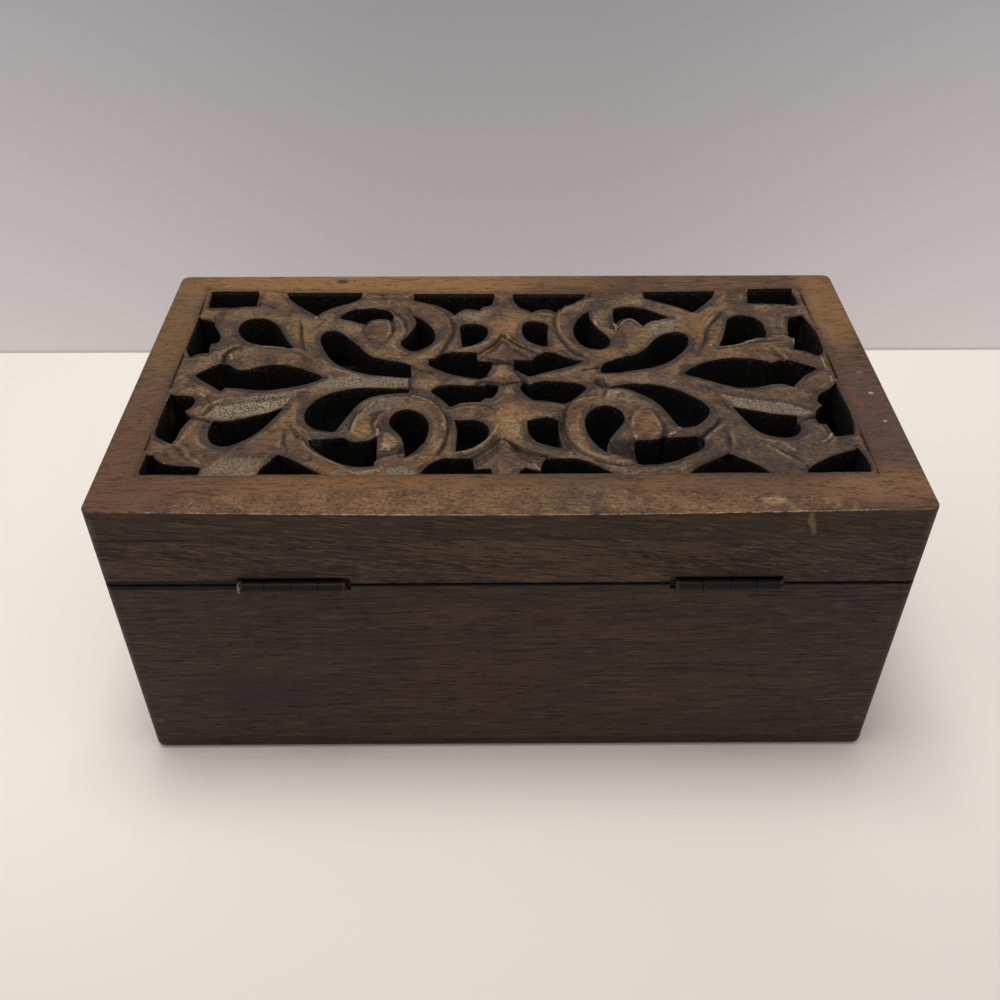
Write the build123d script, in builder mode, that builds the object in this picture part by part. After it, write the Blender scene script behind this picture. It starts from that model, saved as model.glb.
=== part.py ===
from build123d import *
import math
import os

# Outer size of the closed box, and the height at which it parts. All sizes are in millimetres.
box_length = 228.6
box_depth = 127.0
box_height = 101.6
parting_height = 74.0
parting_gap = 0.4

# Boards
wall_thickness = 9.0
rail_thickness = 9.0
bottom_thickness = 5.0
lid_board_thickness = 10.5
corner_radius = 2.8
bottom_edge_radius = 2.2
top_edge_radius = 0.8
rim_edge_radius = 0.5
rounding_limit = 0.8

# Plain frame left round the carved field of the lid: at the hinge edge, the front edge and, on average, the
# ends. The field lies off the middle of the length by its offset, toward +X.
hinge_frame_width = 15.4
front_frame_width = 9.8
end_frame_width = 12.2
field_offset = 0.9
field_recess = 0.6
field_margin = 0.4
drawing_crowding = 0.000136

# Felt lining
felt_thickness = 1.0
felt_below_rim = 4.0

# Wooden pins through the corners, driven from the back and the front
pin_diameter = 2.0
pin_length = 20.0
pin_inset = 4.0
box_pin_from_edge = 14.0
pin_play = 0.02

# Butt hinges
hinge_spacing = 122.5
hinge_length = 30.0
knuckle_count = 4
knuckle_gap = 0.15
leaf_thickness = 0.8
leaf_reach = 8.0
axis_behind_back = 0.7
hinge_pin_diameter = 1.8
hinge_pin_clearance = 0.05
pin_end_chamfer = 0.3
barrel_clearance = 0.25
mortise_clearance = 0.1
notch_headroom = 1.1
notch_spare_length = 1.4

# Countersunk screws, two in each leaf. Those of the lid reach a share of the way up its rail.
screw_shank_diameter = 1.8
screw_head_diameter = 3.4
wall_screw_length = 9.0
rail_screw_share = 0.54
screw_tip_length = 1.6
screw_spacing = 18.0
screw_slot_width = 0.4
screw_slot_depth = 0.3
screw_clearance = 0.05

# Derived places
half_length = box_length / 2
half_depth = box_depth / 2
rail_bottom = parting_height + parting_gap
rail_top = box_height - lid_board_thickness
inner_length = box_length - 2 * wall_thickness
inner_depth = box_depth - 2 * wall_thickness
axis_y = half_depth + axis_behind_back
axis_z = parting_height + parting_gap / 2
barrel_radius = hinge_pin_diameter / 2 + hinge_pin_clearance + leaf_thickness
plate_edge_y = axis_y - barrel_radius - barrel_clearance
plate_inner_y = axis_y - leaf_reach
screw_y = (plate_edge_y + plate_inner_y) / 2
knuckle_pitch = hinge_length / knuckle_count
plate_width = plate_edge_y - plate_inner_y
rail_screw_length = rail_screw_share * (rail_top - rail_bottom)
screw_head_slope = (screw_head_diameter - screw_shank_diameter) / 2 / leaf_thickness
screw_head_angle = 2 * math.degrees(math.atan(screw_head_slope))
box_pin_heights = (box_pin_from_edge, parting_height - box_pin_from_edge)
lid_pin_heights = ((rail_bottom + rail_top) / 2,)
hinge_sides = {"left": -1, "right": 1}

# Carved openings of the lid, drawn as they are seen from the hinge side: the first number runs to the
# right from the middle, the second away from the hinge edge. Each outline is a list of runs. A run starts
# at a corner and passes smoothly through its other points to the corner that starts the next run.
carved_openings = {
    "near_left_corner": [
        [(-102.3, 24.1)], [(-100.4, 23.9), (-98.0, 21.2)], [(-94.0, 19.4)],
        [(-85.8, 18.7), (-86.0, 16.2)], [(-87.2, 15.0)], [(-101.2, 15.0), (-102.2, 15.6)],
        [(-102.4, 17.0)],
    ],
    "near_left_edge": [
        [(-102.2, 54.0), (-99.1, 53.1), (-96.2, 53.0), (-94.3, 51.3), (-94.4, 48.5)],
        [(-96.1, 45.6), (-95.0, 44.0)], [(-93.5, 42.5), (-94.2, 39.8), (-95.3, 36.4), (-95.5, 33.2)],
        [(-96.5, 30.2), (-99.0, 31.4)], [(-102.3, 33.7), (-102.5, 40.0), (-102.4, 47.0)],
    ],
    "near_left_teardrop": [
        [(-66.1, 47.0), (-70.5, 44.5), (-75.9, 41.8), (-82.3, 40.1)],
        [(-86.4, 40.4), (-86.9, 37.0), (-86.6, 33.4), (-84.6, 30.3), (-80.5, 28.9), (-76.5, 30.6),
         (-72.7, 34.1), (-70.3, 38.2), (-68.2, 42.6)],
    ],
    "near_left_triangle": [
        [(-64.2, 24.0), (-60.5, 22.2), (-54.5, 18.0)], [(-49.4, 14.3)],
        [(-68.8, 14.3), (-68.3, 17.6), (-66.3, 21.2)],
    ],
    "near_left_upper_comma": [
        [(-28.3, 56.7), (-37.0, 56.8), (-46.5, 56.3), (-52.0, 54.4), (-56.6, 50.6), (-59.2, 45.0),
         (-58.4, 40.2), (-54.7, 36.7)],
        [(-49.0, 35.5), (-47.0, 40.6), (-44.6, 46.7), (-40.8, 52.1), (-36.5, 54.3)], [(-28.3, 55.2)],
    ],
    "near_left_lower_comma": [
        [(-56.4, 30.8), (-51.3, 31.2)], [(-45.8, 31.9), (-43.8, 30.2), (-41.0, 29.9)],
        [(-36.5, 33.0), (-35.9, 28.0)], [(-36.2, 19.9), (-40.5, 19.7), (-46.0, 20.9), (-51.5, 24.2)],
    ],
    "near_left_ring_hole": [
        [(-27.7, 23.4), (-28.3, 29.0), (-30.0, 33.8), (-33.3, 39.4), (-32.0, 44.0), (-28.8, 45.8),
         (-24.9, 44.2), (-22.0, 40.4), (-21.3, 35.5), (-22.6, 29.2)],
    ],
    "near_left_rail_gap": [
        [(-23.2, 14.2), (-22.0, 17.2), (-19.0, 21.0)], [(-15.5, 22.1)], [(-8.1, 22.3)], [(-7.5, 17.3)],
        [(-3.0, 17.6)], [(-2.4, 14.2)],
    ],
    "near_left_eye": [
        [(-13.1, 25.4), (-13.0, 30.0), (-13.0, 35.5)],
        [(-13.8, 40.2), (-10.6, 40.0), (-6.5, 39.8), (-3.6, 36.0), (-4.6, 31.2), (-8.8, 27.4)],
    ],
    "near_left_lens": [
        [(-21.6, 55.4), (-19.0, 57.7), (-14.5, 58.3)], [(-4.9, 57.8)], [(-4.0, 59.5)],
        [(-0.6, 58.3), (-1.0, 55.5)], [(-2.6, 52.5)], [(-4.6, 52.6)], [(-6.3, 50.4), (-11.0, 49.8)],
        [(-15.4, 47.7), (-17.5, 50.9)],
    ],
    "left_almond": [
        [(-97.0, 64.4), (-94.3, 67.2)],
        [(-90.2, 70.6), (-86.8, 69.6), (-83.5, 67.0), (-79.0, 67.8), (-73.0, 70.0), (-66.0, 68.7)],
        [(-55.9, 63.4), (-60.5, 60.2), (-68.0, 57.6), (-75.0, 56.7), (-81.5, 57.6)], [(-86.1, 58.1)],
        [(-87.0, 55.8), (-91.0, 59.4)],
    ],
    "far_left_corner": [
        [(-101.8, 114.6)], [(-84.8, 114.5)], [(-84.8, 107.3), (-91.0, 106.3)], [(-101.4, 105.9)],
    ],
    "far_left_edge": [
        [(-102.8, 97.8)], [(-101.0, 97.3)], [(-97.0, 95.6), (-95.2, 91.0), (-93.3, 85.2)],
        [(-95.7, 82.9)], [(-95.6, 77.8), (-99.5, 76.8)], [(-100.9, 75.2)], [(-102.8, 77.8)],
    ],
    "far_left_teardrop": [
        [(-67.8, 80.3)],
        [(-69.4, 79.5), (-75.5, 81.8), (-82.5, 83.7), (-86.8, 87.8), (-88.1, 91.8), (-87.2, 95.7),
         (-82.5, 97.8), (-77.8, 96.4), (-73.7, 91.2), (-70.5, 84.5)],
    ],
    "far_left_triangle": [
        [(-74.8, 113.6)], [(-47.6, 113.2), (-51.0, 109.2), (-57.0, 105.6)],
        [(-62.4, 99.7), (-66.5, 104.0), (-71.0, 108.4)],
    ],
    "far_left_crescent": [
        [(-54.6, 98.6), (-50.6, 102.6), (-45.4, 104.0), (-40.6, 103.7), (-36.4, 100.0)],
        [(-36.8, 96.5), (-38.9, 98.3), (-42.2, 98.2)], [(-45.2, 94.5), (-49.2, 96.6)],
    ],
    "far_left_comma": [
        [(-28.1, 63.6), (-34.5, 63.6), (-42.5, 65.4), (-49.5, 68.4), (-54.6, 73.4), (-58.4, 80.8),
         (-59.5, 85.8), (-58.3, 89.2), (-54.6, 89.6), (-50.0, 85.4), (-46.0, 80.6), (-42.3, 75.3),
         (-37.5, 72.6)],
        [(-28.5, 69.5)],
    ],
    "far_left_ring_hole": [
        [(-25.4, 79.6), (-29.8, 79.0), (-32.6, 82.0), (-30.8, 87.0), (-28.5, 92.4)],
        [(-29.5, 99.6), (-26.4, 97.0), (-23.0, 92.4), (-21.4, 87.0), (-22.4, 82.4)],
    ],
    "far_left_rail_gap": [
        [(-30.0, 112.4)], [(-1.8, 112.2)], [(-2.6, 107.4)], [(-5.8, 106.2)],
        [(-6.9, 103.5), (-10.8, 104.4)], [(-15.4, 100.2), (-18.6, 104.3), (-23.4, 107.7)],
        [(-29.9, 110.2)],
    ],
    "far_left_eye": [
        [(-12.4, 80.4), (-12.9, 86.0)],
        [(-13.4, 92.2), (-8.6, 94.0), (-4.5, 91.7), (-4.2, 87.2), (-7.4, 82.8)],
    ],
    "far_left_lens": [
        [(-23.1, 72.7)], [(-20.8, 73.4)], [(-19.0, 76.8)], [(-16.4, 76.1)], [(-7.7, 76.8)],
        [(-7.2, 72.0)], [(-2.6, 72.0), (-3.2, 67.0)], [(-6.2, 62.0), (-11.5, 63.2), (-17.5, 66.2)],
        [(-22.9, 70.2)],
    ],
    "near_right_rail_gap": [
        [(4.6, 14.2), (5.2, 16.4)], [(6.8, 17.8)], [(10.8, 16.4)], [(11.6, 20.2)], [(12.6, 22.0)],
        [(18.5, 21.8), (24.0, 20.7), (28.0, 17.8)], [(32.0, 14.3)],
    ],
    "near_right_eye": [
        [(7.8, 39.6), (11.0, 41.0)], [(13.9, 41.6)], [(17.0, 40.0), (16.9, 33.5)],
        [(17.5, 27.2), (13.6, 28.3), (9.4, 31.5), (7.9, 35.8)],
    ],
    "near_right_ring_hole": [
        [(30.3, 25.0), (27.0, 29.4), (24.9, 35.8), (25.7, 43.0), (31.0, 47.3), (35.0, 45.8),
         (36.7, 41.8), (34.4, 36.3), (31.8, 31.8)],
    ],
    "near_right_lower_comma": [
        [(38.4, 30.0), (41.6, 30.2), (44.6, 30.6)], [(46.9, 33.2)], [(48.2, 31.2), (53.0, 31.7)],
        [(58.2, 32.0), (58.0, 27.8), (53.5, 23.8), (47.0, 20.6)], [(38.3, 19.9)],
    ],
    "near_right_upper_comma": [
        [(32.5, 57.6), (37.5, 58.2), (46.5, 58.2), (53.0, 56.0), (58.8, 51.2), (62.2, 45.8),
         (60.0, 40.3)],
        [(52.3, 36.9), (50.3, 42.0), (47.6, 48.4), (43.2, 53.9), (38.8, 56.6)],
    ],
    "near_right_lens": [
        [(6.0, 57.3)], [(7.1, 60.0)], [(8.9, 58.4), (13.5, 60.0), (20.5, 59.6), (25.6, 58.0)],
        [(26.4, 56.4), (23.4, 52.6)], [(19.2, 48.6), (15.0, 50.1)], [(10.2, 51.1), (7.4, 54.2)],
    ],
    "near_right_teardrop": [
        [(69.1, 46.8), (74.0, 44.7)], [(79.5, 43.0)], [(87.2, 41.6)],
        [(86.6, 38.8), (87.2, 36.0), (84.6, 32.6), (80.0, 32.1), (75.6, 34.0), (72.2, 39.3)],
    ],
    "near_right_edge": [
        [(102.5, 58.9), (102.5, 50.0), (102.7, 42.0)], [(101.7, 33.0)], [(95.9, 32.5)], [(94.9, 38.2)],
        [(92.8, 38.8), (92.6, 41.8)], [(95.8, 47.2)], [(95.0, 50.2)], [(96.2, 53.0), (99.2, 55.2)],
    ],
    "near_right_triangle": [
        [(52.2, 15.2), (55.6, 18.4), (60.2, 21.2)], [(64.2, 24.1), (69.4, 20.6)], [(74.8, 15.0)],
    ],
    "near_right_corner": [
        [(84.8, 16.8), (88.6, 20.0), (93.6, 23.0)], [(99.8, 25.4)], [(100.9, 26.6), (101.9, 22.6)],
        [(102.0, 15.7), (94.0, 15.5)], [(85.2, 14.6)],
    ],
    "right_almond": [
        [(57.4, 64.6), (61.4, 68.4), (68.2, 71.8), (75.9, 72.8), (82.0, 71.6)], [(85.4, 70.0)],
        [(88.0, 71.6)], [(90.6, 71.8), (94.4, 69.7)], [(98.9, 67.0), (95.0, 64.2), (92.2, 61.0)],
        [(89.4, 57.4)],
        [(88.0, 58.6), (85.2, 59.2), (80.6, 57.8), (75.0, 57.0), (68.6, 59.2), (62.6, 62.4)],
    ],
    "far_right_rail_gap": [
        [(4.6, 112.0)], [(29.8, 112.0), (25.6, 108.6)], [(22.2, 106.6)], [(19.3, 102.2), (14.5, 103.8)],
        [(10.8, 102.3)], [(9.8, 103.9)], [(7.2, 104.9), (5.4, 107.9)],
    ],
    "far_right_eye": [
        [(16.1, 92.9), (15.6, 87.0)],
        [(15.5, 80.8), (11.0, 82.8), (8.0, 86.4), (7.3, 91.0), (8.3, 94.6), (11.6, 95.3)],
    ],
    "far_right_ring_hole": [
        [(30.0, 101.4), (30.8, 95.0), (33.4, 88.9), (35.9, 84.4), (34.4, 80.0), (30.5, 79.1),
         (26.4, 82.0), (24.3, 88.6), (25.6, 95.7)],
    ],
    "far_right_crescent": [
        [(38.8, 103.4), (43.6, 104.5), (49.6, 103.0), (53.6, 100.2)], [(56.8, 98.0), (51.8, 96.8)],
        [(47.9, 93.7), (45.6, 96.8), (43.0, 98.6), (40.3, 97.1)], [(38.8, 93.4), (38.0, 98.0)],
    ],
    "far_right_comma": [
        [(31.6, 66.0), (32.6, 69.7), (36.6, 72.3), (43.0, 75.0), (47.6, 79.8), (51.0, 85.0),
         (56.0, 87.9), (60.6, 87.2), (61.2, 82.8), (57.6, 76.0), (51.4, 70.2), (44.0, 67.3),
         (37.4, 65.8)],
    ],
    "far_right_lens": [
        [(4.3, 72.2)], [(9.4, 72.0)], [(10.5, 73.0), (12.4, 75.4)], [(14.6, 76.8)],
        [(17.6, 76.4), (21.5, 73.4)], [(26.3, 71.8), (22.0, 69.6), (16.0, 66.6)], [(8.7, 63.4)],
        [(4.4, 67.8)],
    ],
    "far_right_triangle": [
        [(48.8, 113.2)], [(74.4, 113.7), (71.4, 109.2)], [(65.2, 101.8), (60.0, 105.6), (53.5, 109.4)],
    ],
    "far_right_corner": [
        [(85.9, 115.0)], [(100.8, 115.4)], [(101.4, 106.8)], [(99.6, 105.9)], [(97.2, 107.2)],
        [(84.5, 107.6)],
    ],
    "far_right_teardrop": [
        [(70.6, 80.6), (72.8, 86.0), (74.8, 92.8), (76.6, 97.2), (81.2, 98.6), (85.4, 97.0),
         (87.4, 91.6)],
        [(86.6, 85.6), (81.4, 84.4), (76.0, 82.0)],
    ],
    "far_right_edge": [
        [(96.2, 97.1)], [(101.1, 98.7), (102.6, 90.0), (103.0, 82.0)], [(102.7, 76.0)],
        [(100.9, 74.7), (97.6, 77.5)], [(94.3, 79.0)], [(95.5, 84.6)], [(93.9, 86.2), (94.6, 91.0)],
    ],
}


# The drawing is a little crowded at its left end. It is evened out, then stretched to fill the carved field.
def evened(u):
    return u / (1 - drawing_crowding * u)


drawn_points = [point for runs in carved_openings.values() for run in runs for point in run]
drawn_left = evened(min(u for u, v in drawn_points))
drawn_right = evened(max(u for u, v in drawn_points))
drawn_near = min(v for u, v in drawn_points)
drawn_far = max(v for u, v in drawn_points)
field_length = box_length - 2 * end_frame_width
field_depth = box_depth - hinge_frame_width - front_frame_width
length_scale = field_length / (drawn_right - drawn_left)
depth_scale = field_depth / (drawn_far - drawn_near)
field_middle_y = half_depth - hinge_frame_width - field_depth / 2


def place_on_field(point):
    u, v = point
    x = field_offset - (evened(u) - (drawn_left + drawn_right) / 2) * length_scale
    y = field_middle_y + field_depth / 2 - (v - drawn_near) * depth_scale
    return (x, y)


def save(piece, name):
    piece.label = name
    export_step(piece, f"parts/{name}.step")


os.makedirs("parts", exist_ok=True)


# Bottom board, glued under the walls, with its outer corners and lower edge rounded
with BuildPart() as bottom_board:
    with BuildSketch():
        RectangleRounded(box_length, box_depth, corner_radius)
    extrude(amount=bottom_thickness)
    lower_radius = min(bottom_edge_radius, rounding_limit * min(corner_radius, bottom_thickness))
    fillet(bottom_board.faces().sort_by(Axis.Z)[0].edges(), lower_radius)
save(bottom_board.part, "bottom_board")


# Round sections of the corner pins, or of their holes, seen along the box's depth
def pin_circles(pin_heights, ends, radius):
    for end in ends:
        with Locations([(end * (half_length - pin_inset), height) for height in pin_heights]):
            Circle(radius)


def hinge_middle(side):
    return side * hinge_spacing / 2


# Sketch of the notch that clears a barrel. It is longer than the barrel on the side of the box's middle.
def barrel_notch(side):
    spare = (notch_spare_length - mortise_clearance) / 2
    notch_length = hinge_length + mortise_clearance + notch_spare_length
    with Locations((hinge_middle(side) - side * spare, (plate_edge_y + axis_y) / 2)):
        Rectangle(notch_length, axis_y - plate_edge_y)


# Sketch of the shallow mortise that takes a leaf
def leaf_mortise(side):
    with Locations((hinge_middle(side), (plate_edge_y + plate_inner_y - mortise_clearance) / 2)):
        Rectangle(hinge_length + 2 * mortise_clearance, plate_edge_y - plate_inner_y + mortise_clearance)


def screw_places(side):
    return [(hinge_middle(side) + end * screw_spacing / 2, screw_y) for end in (-1, 1)]


# Edges of a board's outer side at the height where the box parts
def rim_edges(board, height, inner_axis, outward):
    edges = board.edges().filter_by_position(Axis.Z, height, height).sort_by(inner_axis)
    return edges[1:] if outward > 0 else edges[:-1]


# A long board of the box or the lid. Its ends cover the ends of the side boards, its outer corners are
# rounded, and so is the outer edge at the parting. A back board is let in for the two hinges, in its top
# edge or its underside.
def long_board(thickness, low, high, face, pin_heights, rim_height, hinge_edge=None):
    outer_y = face * half_depth
    with BuildPart() as board:
        with BuildSketch(Plane.XY.offset(low)):
            with Locations((0, outer_y - face * thickness / 2)):
                Rectangle(box_length, thickness)
        extrude(amount=high - low)
        outer_edges = board.edges().filter_by(Axis.Z).group_by(Axis.Y)[-1 if face > 0 else 0]
        fillet(outer_edges, corner_radius)
        fillet(rim_edges(board, rim_height, Axis.Y, face), rim_edge_radius)
        with BuildSketch(Plane.XZ.offset(-outer_y)):
            pin_circles(pin_heights, (-1, 1), pin_diameter / 2 + pin_play)
        extrude(amount=face * thickness, mode=Mode.SUBTRACT)
        if hinge_edge == "top":
            for side in hinge_sides.values():
                with BuildSketch(Plane.XY.offset(axis_z - barrel_radius - barrel_clearance)):
                    barrel_notch(side)
                extrude(amount=barrel_radius + barrel_clearance, mode=Mode.SUBTRACT)
                with BuildSketch(Plane.XY.offset(high - leaf_thickness)):
                    leaf_mortise(side)
                extrude(amount=leaf_thickness, mode=Mode.SUBTRACT)
                with Locations([(x, y, high) for x, y in screw_places(side)]):
                    Hole(screw_shank_diameter / 2 + screw_clearance, wall_screw_length + screw_clearance)
        if hinge_edge == "bottom":
            for side in hinge_sides.values():
                with BuildSketch(Plane.XY.offset(low)):
                    barrel_notch(side)
                notch_height = axis_z + barrel_radius + notch_headroom - low
                extrude(amount=notch_height, mode=Mode.SUBTRACT)
                with BuildSketch(Plane.XY.offset(low)):
                    leaf_mortise(side)
                extrude(amount=leaf_thickness, mode=Mode.SUBTRACT)
                with Locations([Location((x, y, low), (180, 0, 0)) for x, y in screw_places(side)]):
                    Hole(screw_shank_diameter / 2 + screw_clearance, rail_screw_length + screw_clearance)
    return board.part


# A side board, held between the long ones, with blind holes for the pins in both of its ends
def side_board(thickness, low, high, end, pin_heights, rim_height):
    middle_x = end * (half_length - thickness / 2)
    end_y = half_depth - thickness
    with BuildPart() as board:
        with BuildSketch(Plane.XY.offset(low)):
            with Locations((middle_x, 0)):
                Rectangle(thickness, 2 * end_y)
        extrude(amount=high - low)
        rim = board.edges().filter_by_position(Axis.Z, rim_height, rim_height).filter_by(Axis.Y)
        fillet(rim.sort_by(Axis.X)[-1 if end > 0 else 0], rim_edge_radius)
        for face in (-1, 1):
            with BuildSketch(Plane.XZ.offset(-face * end_y)):
                pin_circles(pin_heights, (end,), pin_diameter / 2 + pin_play)
            extrude(amount=face * (pin_length - thickness + pin_play), mode=Mode.SUBTRACT)
    return board.part


# Sizes that every wall and every rail shares: thickness, lower and upper face
wall_span = (wall_thickness, bottom_thickness, parting_height)
rail_span = (rail_thickness, rail_bottom, rail_top)

save(long_board(*wall_span, 1, box_pin_heights, parting_height, "top"), "back_wall")
save(long_board(*wall_span, -1, box_pin_heights, parting_height), "front_wall")
save(long_board(*rail_span, 1, lid_pin_heights, rail_bottom, "bottom"), "lid_back_rail")
save(long_board(*rail_span, -1, lid_pin_heights, rail_bottom), "lid_front_rail")
for name, side in hinge_sides.items():
    save(side_board(*wall_span, side, box_pin_heights, parting_height), f"{name}_wall")
    save(side_board(*rail_span, side, lid_pin_heights, rail_bottom), f"lid_{name}_rail")


# Corner pins, flush with the outer faces
def corner_pins(pin_heights):
    with BuildPart() as pins:
        for face in (-1, 1):
            with BuildSketch(Plane.XZ.offset(-face * half_depth)):
                pin_circles(pin_heights, (-1, 1), pin_diameter / 2)
            extrude(amount=face * pin_length)
    return pins.part


save(corner_pins(box_pin_heights), "box_corner_pins")
save(corner_pins(lid_pin_heights), "lid_corner_pins")


# Carved board of the lid: one plank, its field sunk a little below the frame and pierced right through
with BuildPart() as carved_board:
    with BuildSketch(Plane.XY.offset(rail_top)):
        RectangleRounded(box_length, box_depth, corner_radius)
    extrude(amount=lid_board_thickness)
    fillet(carved_board.faces().sort_by(Axis.Z)[-1].edges(), top_edge_radius)
    with BuildSketch(Plane.XY.offset(box_height)):
        with Locations((field_offset, field_middle_y)):
            Rectangle(field_length + 2 * field_margin, field_depth + 2 * field_margin)
    extrude(amount=-field_recess, mode=Mode.SUBTRACT)
    with BuildSketch(Plane.XY.offset(box_height)):
        for runs in carved_openings.values():
            corners = [place_on_field(run[0]) for run in runs]
            with BuildLine():
                for index, run in enumerate(runs):
                    points = [place_on_field(point) for point in run]
                    points.append(corners[(index + 1) % len(runs)])
                    if len(points) == 2:
                        Line(*points)
                    else:
                        Spline(*points)
            make_face()
    extrude(amount=-lid_board_thickness, mode=Mode.SUBTRACT)
save(carved_board.part, "carved_board")


# Felt lining: the floor piece lies on the bottom board, and the four wall pieces stand on it
felt_low = bottom_thickness + felt_thickness
felt_height = parting_height - felt_below_rim - felt_low
with BuildPart() as floor_felt:
    with BuildSketch(Plane.XY.offset(bottom_thickness)):
        Rectangle(inner_length, inner_depth)
    extrude(amount=felt_thickness)
save(floor_felt.part, "floor_felt")

for name, face in {"back": 1, "front": -1}.items():
    with BuildPart() as long_felt:
        with BuildSketch(Plane.XY.offset(felt_low)):
            with Locations((0, face * (inner_depth - felt_thickness) / 2)):
                Rectangle(inner_length, felt_thickness)
        extrude(amount=felt_height)
    save(long_felt.part, f"{name}_felt")

for name, side in hinge_sides.items():
    with BuildPart() as side_felt:
        with BuildSketch(Plane.XY.offset(felt_low)):
            with Locations((side * (inner_length - felt_thickness) / 2, 0)):
                Rectangle(felt_thickness, inner_depth - 2 * felt_thickness)
        extrude(amount=felt_height)
    save(side_felt.part, f"{name}_felt")


# Half a hinge: a flat leaf, a tongue to each of its knuckles, and the knuckles round the pin
def hinge_leaf(side, plate_bottom, first_knuckle, countersink_up):
    middle = hinge_middle(side)
    tongue_end_y = axis_y - (barrel_radius + hinge_pin_diameter / 2) / 2
    with BuildPart() as leaf:
        with BuildSketch(Plane.XY.offset(plate_bottom)):
            with Locations((middle, (plate_edge_y + plate_inner_y) / 2)):
                Rectangle(hinge_length, plate_width)
        extrude(amount=leaf_thickness)
        for number in range(first_knuckle, knuckle_count, 2):
            knuckle_x = middle - hinge_length / 2 + (number + 0.5) * knuckle_pitch
            knuckle_length = knuckle_pitch - knuckle_gap
            with BuildSketch(Plane.XY.offset(plate_bottom)):
                with Locations((knuckle_x, (plate_edge_y + tongue_end_y) / 2)):
                    Rectangle(knuckle_length, tongue_end_y - plate_edge_y)
            extrude(amount=leaf_thickness)
            with BuildSketch(Plane.YZ.offset(knuckle_x - knuckle_length / 2)):
                with Locations((axis_y, axis_z)):
                    Circle(barrel_radius)
            extrude(amount=knuckle_length)
        with BuildSketch(Plane.YZ.offset(middle - hinge_length / 2)):
            with Locations((axis_y, axis_z)):
                Circle(hinge_pin_diameter / 2 + hinge_pin_clearance)
        extrude(amount=hinge_length, mode=Mode.SUBTRACT)
        if countersink_up:
            places = [Location((x, y, plate_bottom + leaf_thickness)) for x, y in screw_places(side)]
        else:
            places = [Location((x, y, plate_bottom), (180, 0, 0)) for x, y in screw_places(side)]
        with Locations(places):
            CounterSinkHole(
                screw_shank_diameter / 2 + screw_clearance,
                screw_head_diameter / 2 + screw_clearance,
                counter_sink_angle=screw_head_angle,
            )
    return leaf.part


# Screws of both hinges on one side of the parting. A head is a cone as high as the leaf is thick, and
# lies flush with the leaf.
def leaf_screws(face_z, direction, length):
    with BuildPart() as screws:
        for side in hinge_sides.values():
            for x, y in screw_places(side):
                with BuildSketch(Plane((x, y, face_z), x_dir=(1, 0, 0), z_dir=(0, -1, 0))):
                    with BuildLine():
                        Polyline(
                            (0, 0),
                            (screw_head_diameter / 2, 0),
                            (screw_shank_diameter / 2, direction * leaf_thickness),
                            (screw_shank_diameter / 2, direction * (length - screw_tip_length)),
                            (0, direction * length),
                            close=True,
                        )
                    make_face()
                revolve(axis=Axis((x, y, face_z), (0, 0, 1)))
                with BuildSketch(Plane.XY.offset(face_z)):
                    with Locations((x, y)):
                        Rectangle(screw_head_diameter, screw_slot_width)
                extrude(amount=direction * screw_slot_depth, mode=Mode.SUBTRACT)
    return screws.part


for name, side in hinge_sides.items():
    save(hinge_leaf(side, parting_height - leaf_thickness, 0, True), f"{name}_hinge_box_leaf")
    save(hinge_leaf(side, rail_bottom, 1, False), f"{name}_hinge_lid_leaf")
    with BuildPart() as hinge_pin:
        with BuildSketch(Plane.YZ.offset(hinge_middle(side) - hinge_length / 2)):
            with Locations((axis_y, axis_z)):
                Circle(hinge_pin_diameter / 2)
        extrude(amount=hinge_length)
        chamfer(hinge_pin.edges().filter_by(GeomType.CIRCLE), pin_end_chamfer)
    save(hinge_pin.part, f"{name}_hinge_pin")

save(leaf_screws(parting_height, -1, wall_screw_length), "box_leaf_screws")
save(leaf_screws(rail_bottom, 1, rail_screw_length), "lid_leaf_screws")
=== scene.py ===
import math

import bpy
import numpy as np
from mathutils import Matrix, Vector, kdtree


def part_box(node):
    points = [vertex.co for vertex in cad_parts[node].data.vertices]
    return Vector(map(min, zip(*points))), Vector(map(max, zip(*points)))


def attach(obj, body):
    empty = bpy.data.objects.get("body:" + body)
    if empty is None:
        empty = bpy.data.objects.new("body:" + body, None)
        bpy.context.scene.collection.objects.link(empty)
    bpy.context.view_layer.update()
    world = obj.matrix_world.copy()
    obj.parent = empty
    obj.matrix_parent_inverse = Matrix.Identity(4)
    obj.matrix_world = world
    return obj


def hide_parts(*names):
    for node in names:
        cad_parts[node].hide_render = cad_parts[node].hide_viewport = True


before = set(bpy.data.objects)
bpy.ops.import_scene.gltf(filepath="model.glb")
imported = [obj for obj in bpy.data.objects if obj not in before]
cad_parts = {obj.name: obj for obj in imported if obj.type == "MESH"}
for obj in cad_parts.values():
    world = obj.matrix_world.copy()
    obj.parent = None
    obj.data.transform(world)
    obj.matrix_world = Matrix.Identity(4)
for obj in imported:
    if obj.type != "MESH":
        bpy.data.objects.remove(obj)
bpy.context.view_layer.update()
print("frame loaded:", len(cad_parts), "nodes")

mm = 0.001  # the frame is in metres, and the sizes below are in millimetres


# Camera, where the photograph was taken from: behind the hinges, looking down
photoCamera = {
    "place": (4.167, 277.916, 287.769),
    "turn": (49.591, 0.0134, 179.665),
    "lens": 38.70,
    "sensor": 36.0,
    "clip": (0.01, 50.0),
}


def addCamera(settings):
    bpy.ops.object.camera_add(
        location=[value * mm for value in settings["place"]],
        rotation=[math.radians(value) for value in settings["turn"]],
    )
    camera = bpy.context.object
    camera.name = "photoCamera"
    camera.data.lens = settings["lens"]
    camera.data.sensor_width = settings["sensor"]
    camera.data.clip_start, camera.data.clip_end = settings["clip"]
    bpy.context.scene.camera = camera


addCamera(photoCamera)
bpy.context.scene.view_settings.view_transform = "Standard"
print("camera placed")


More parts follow.
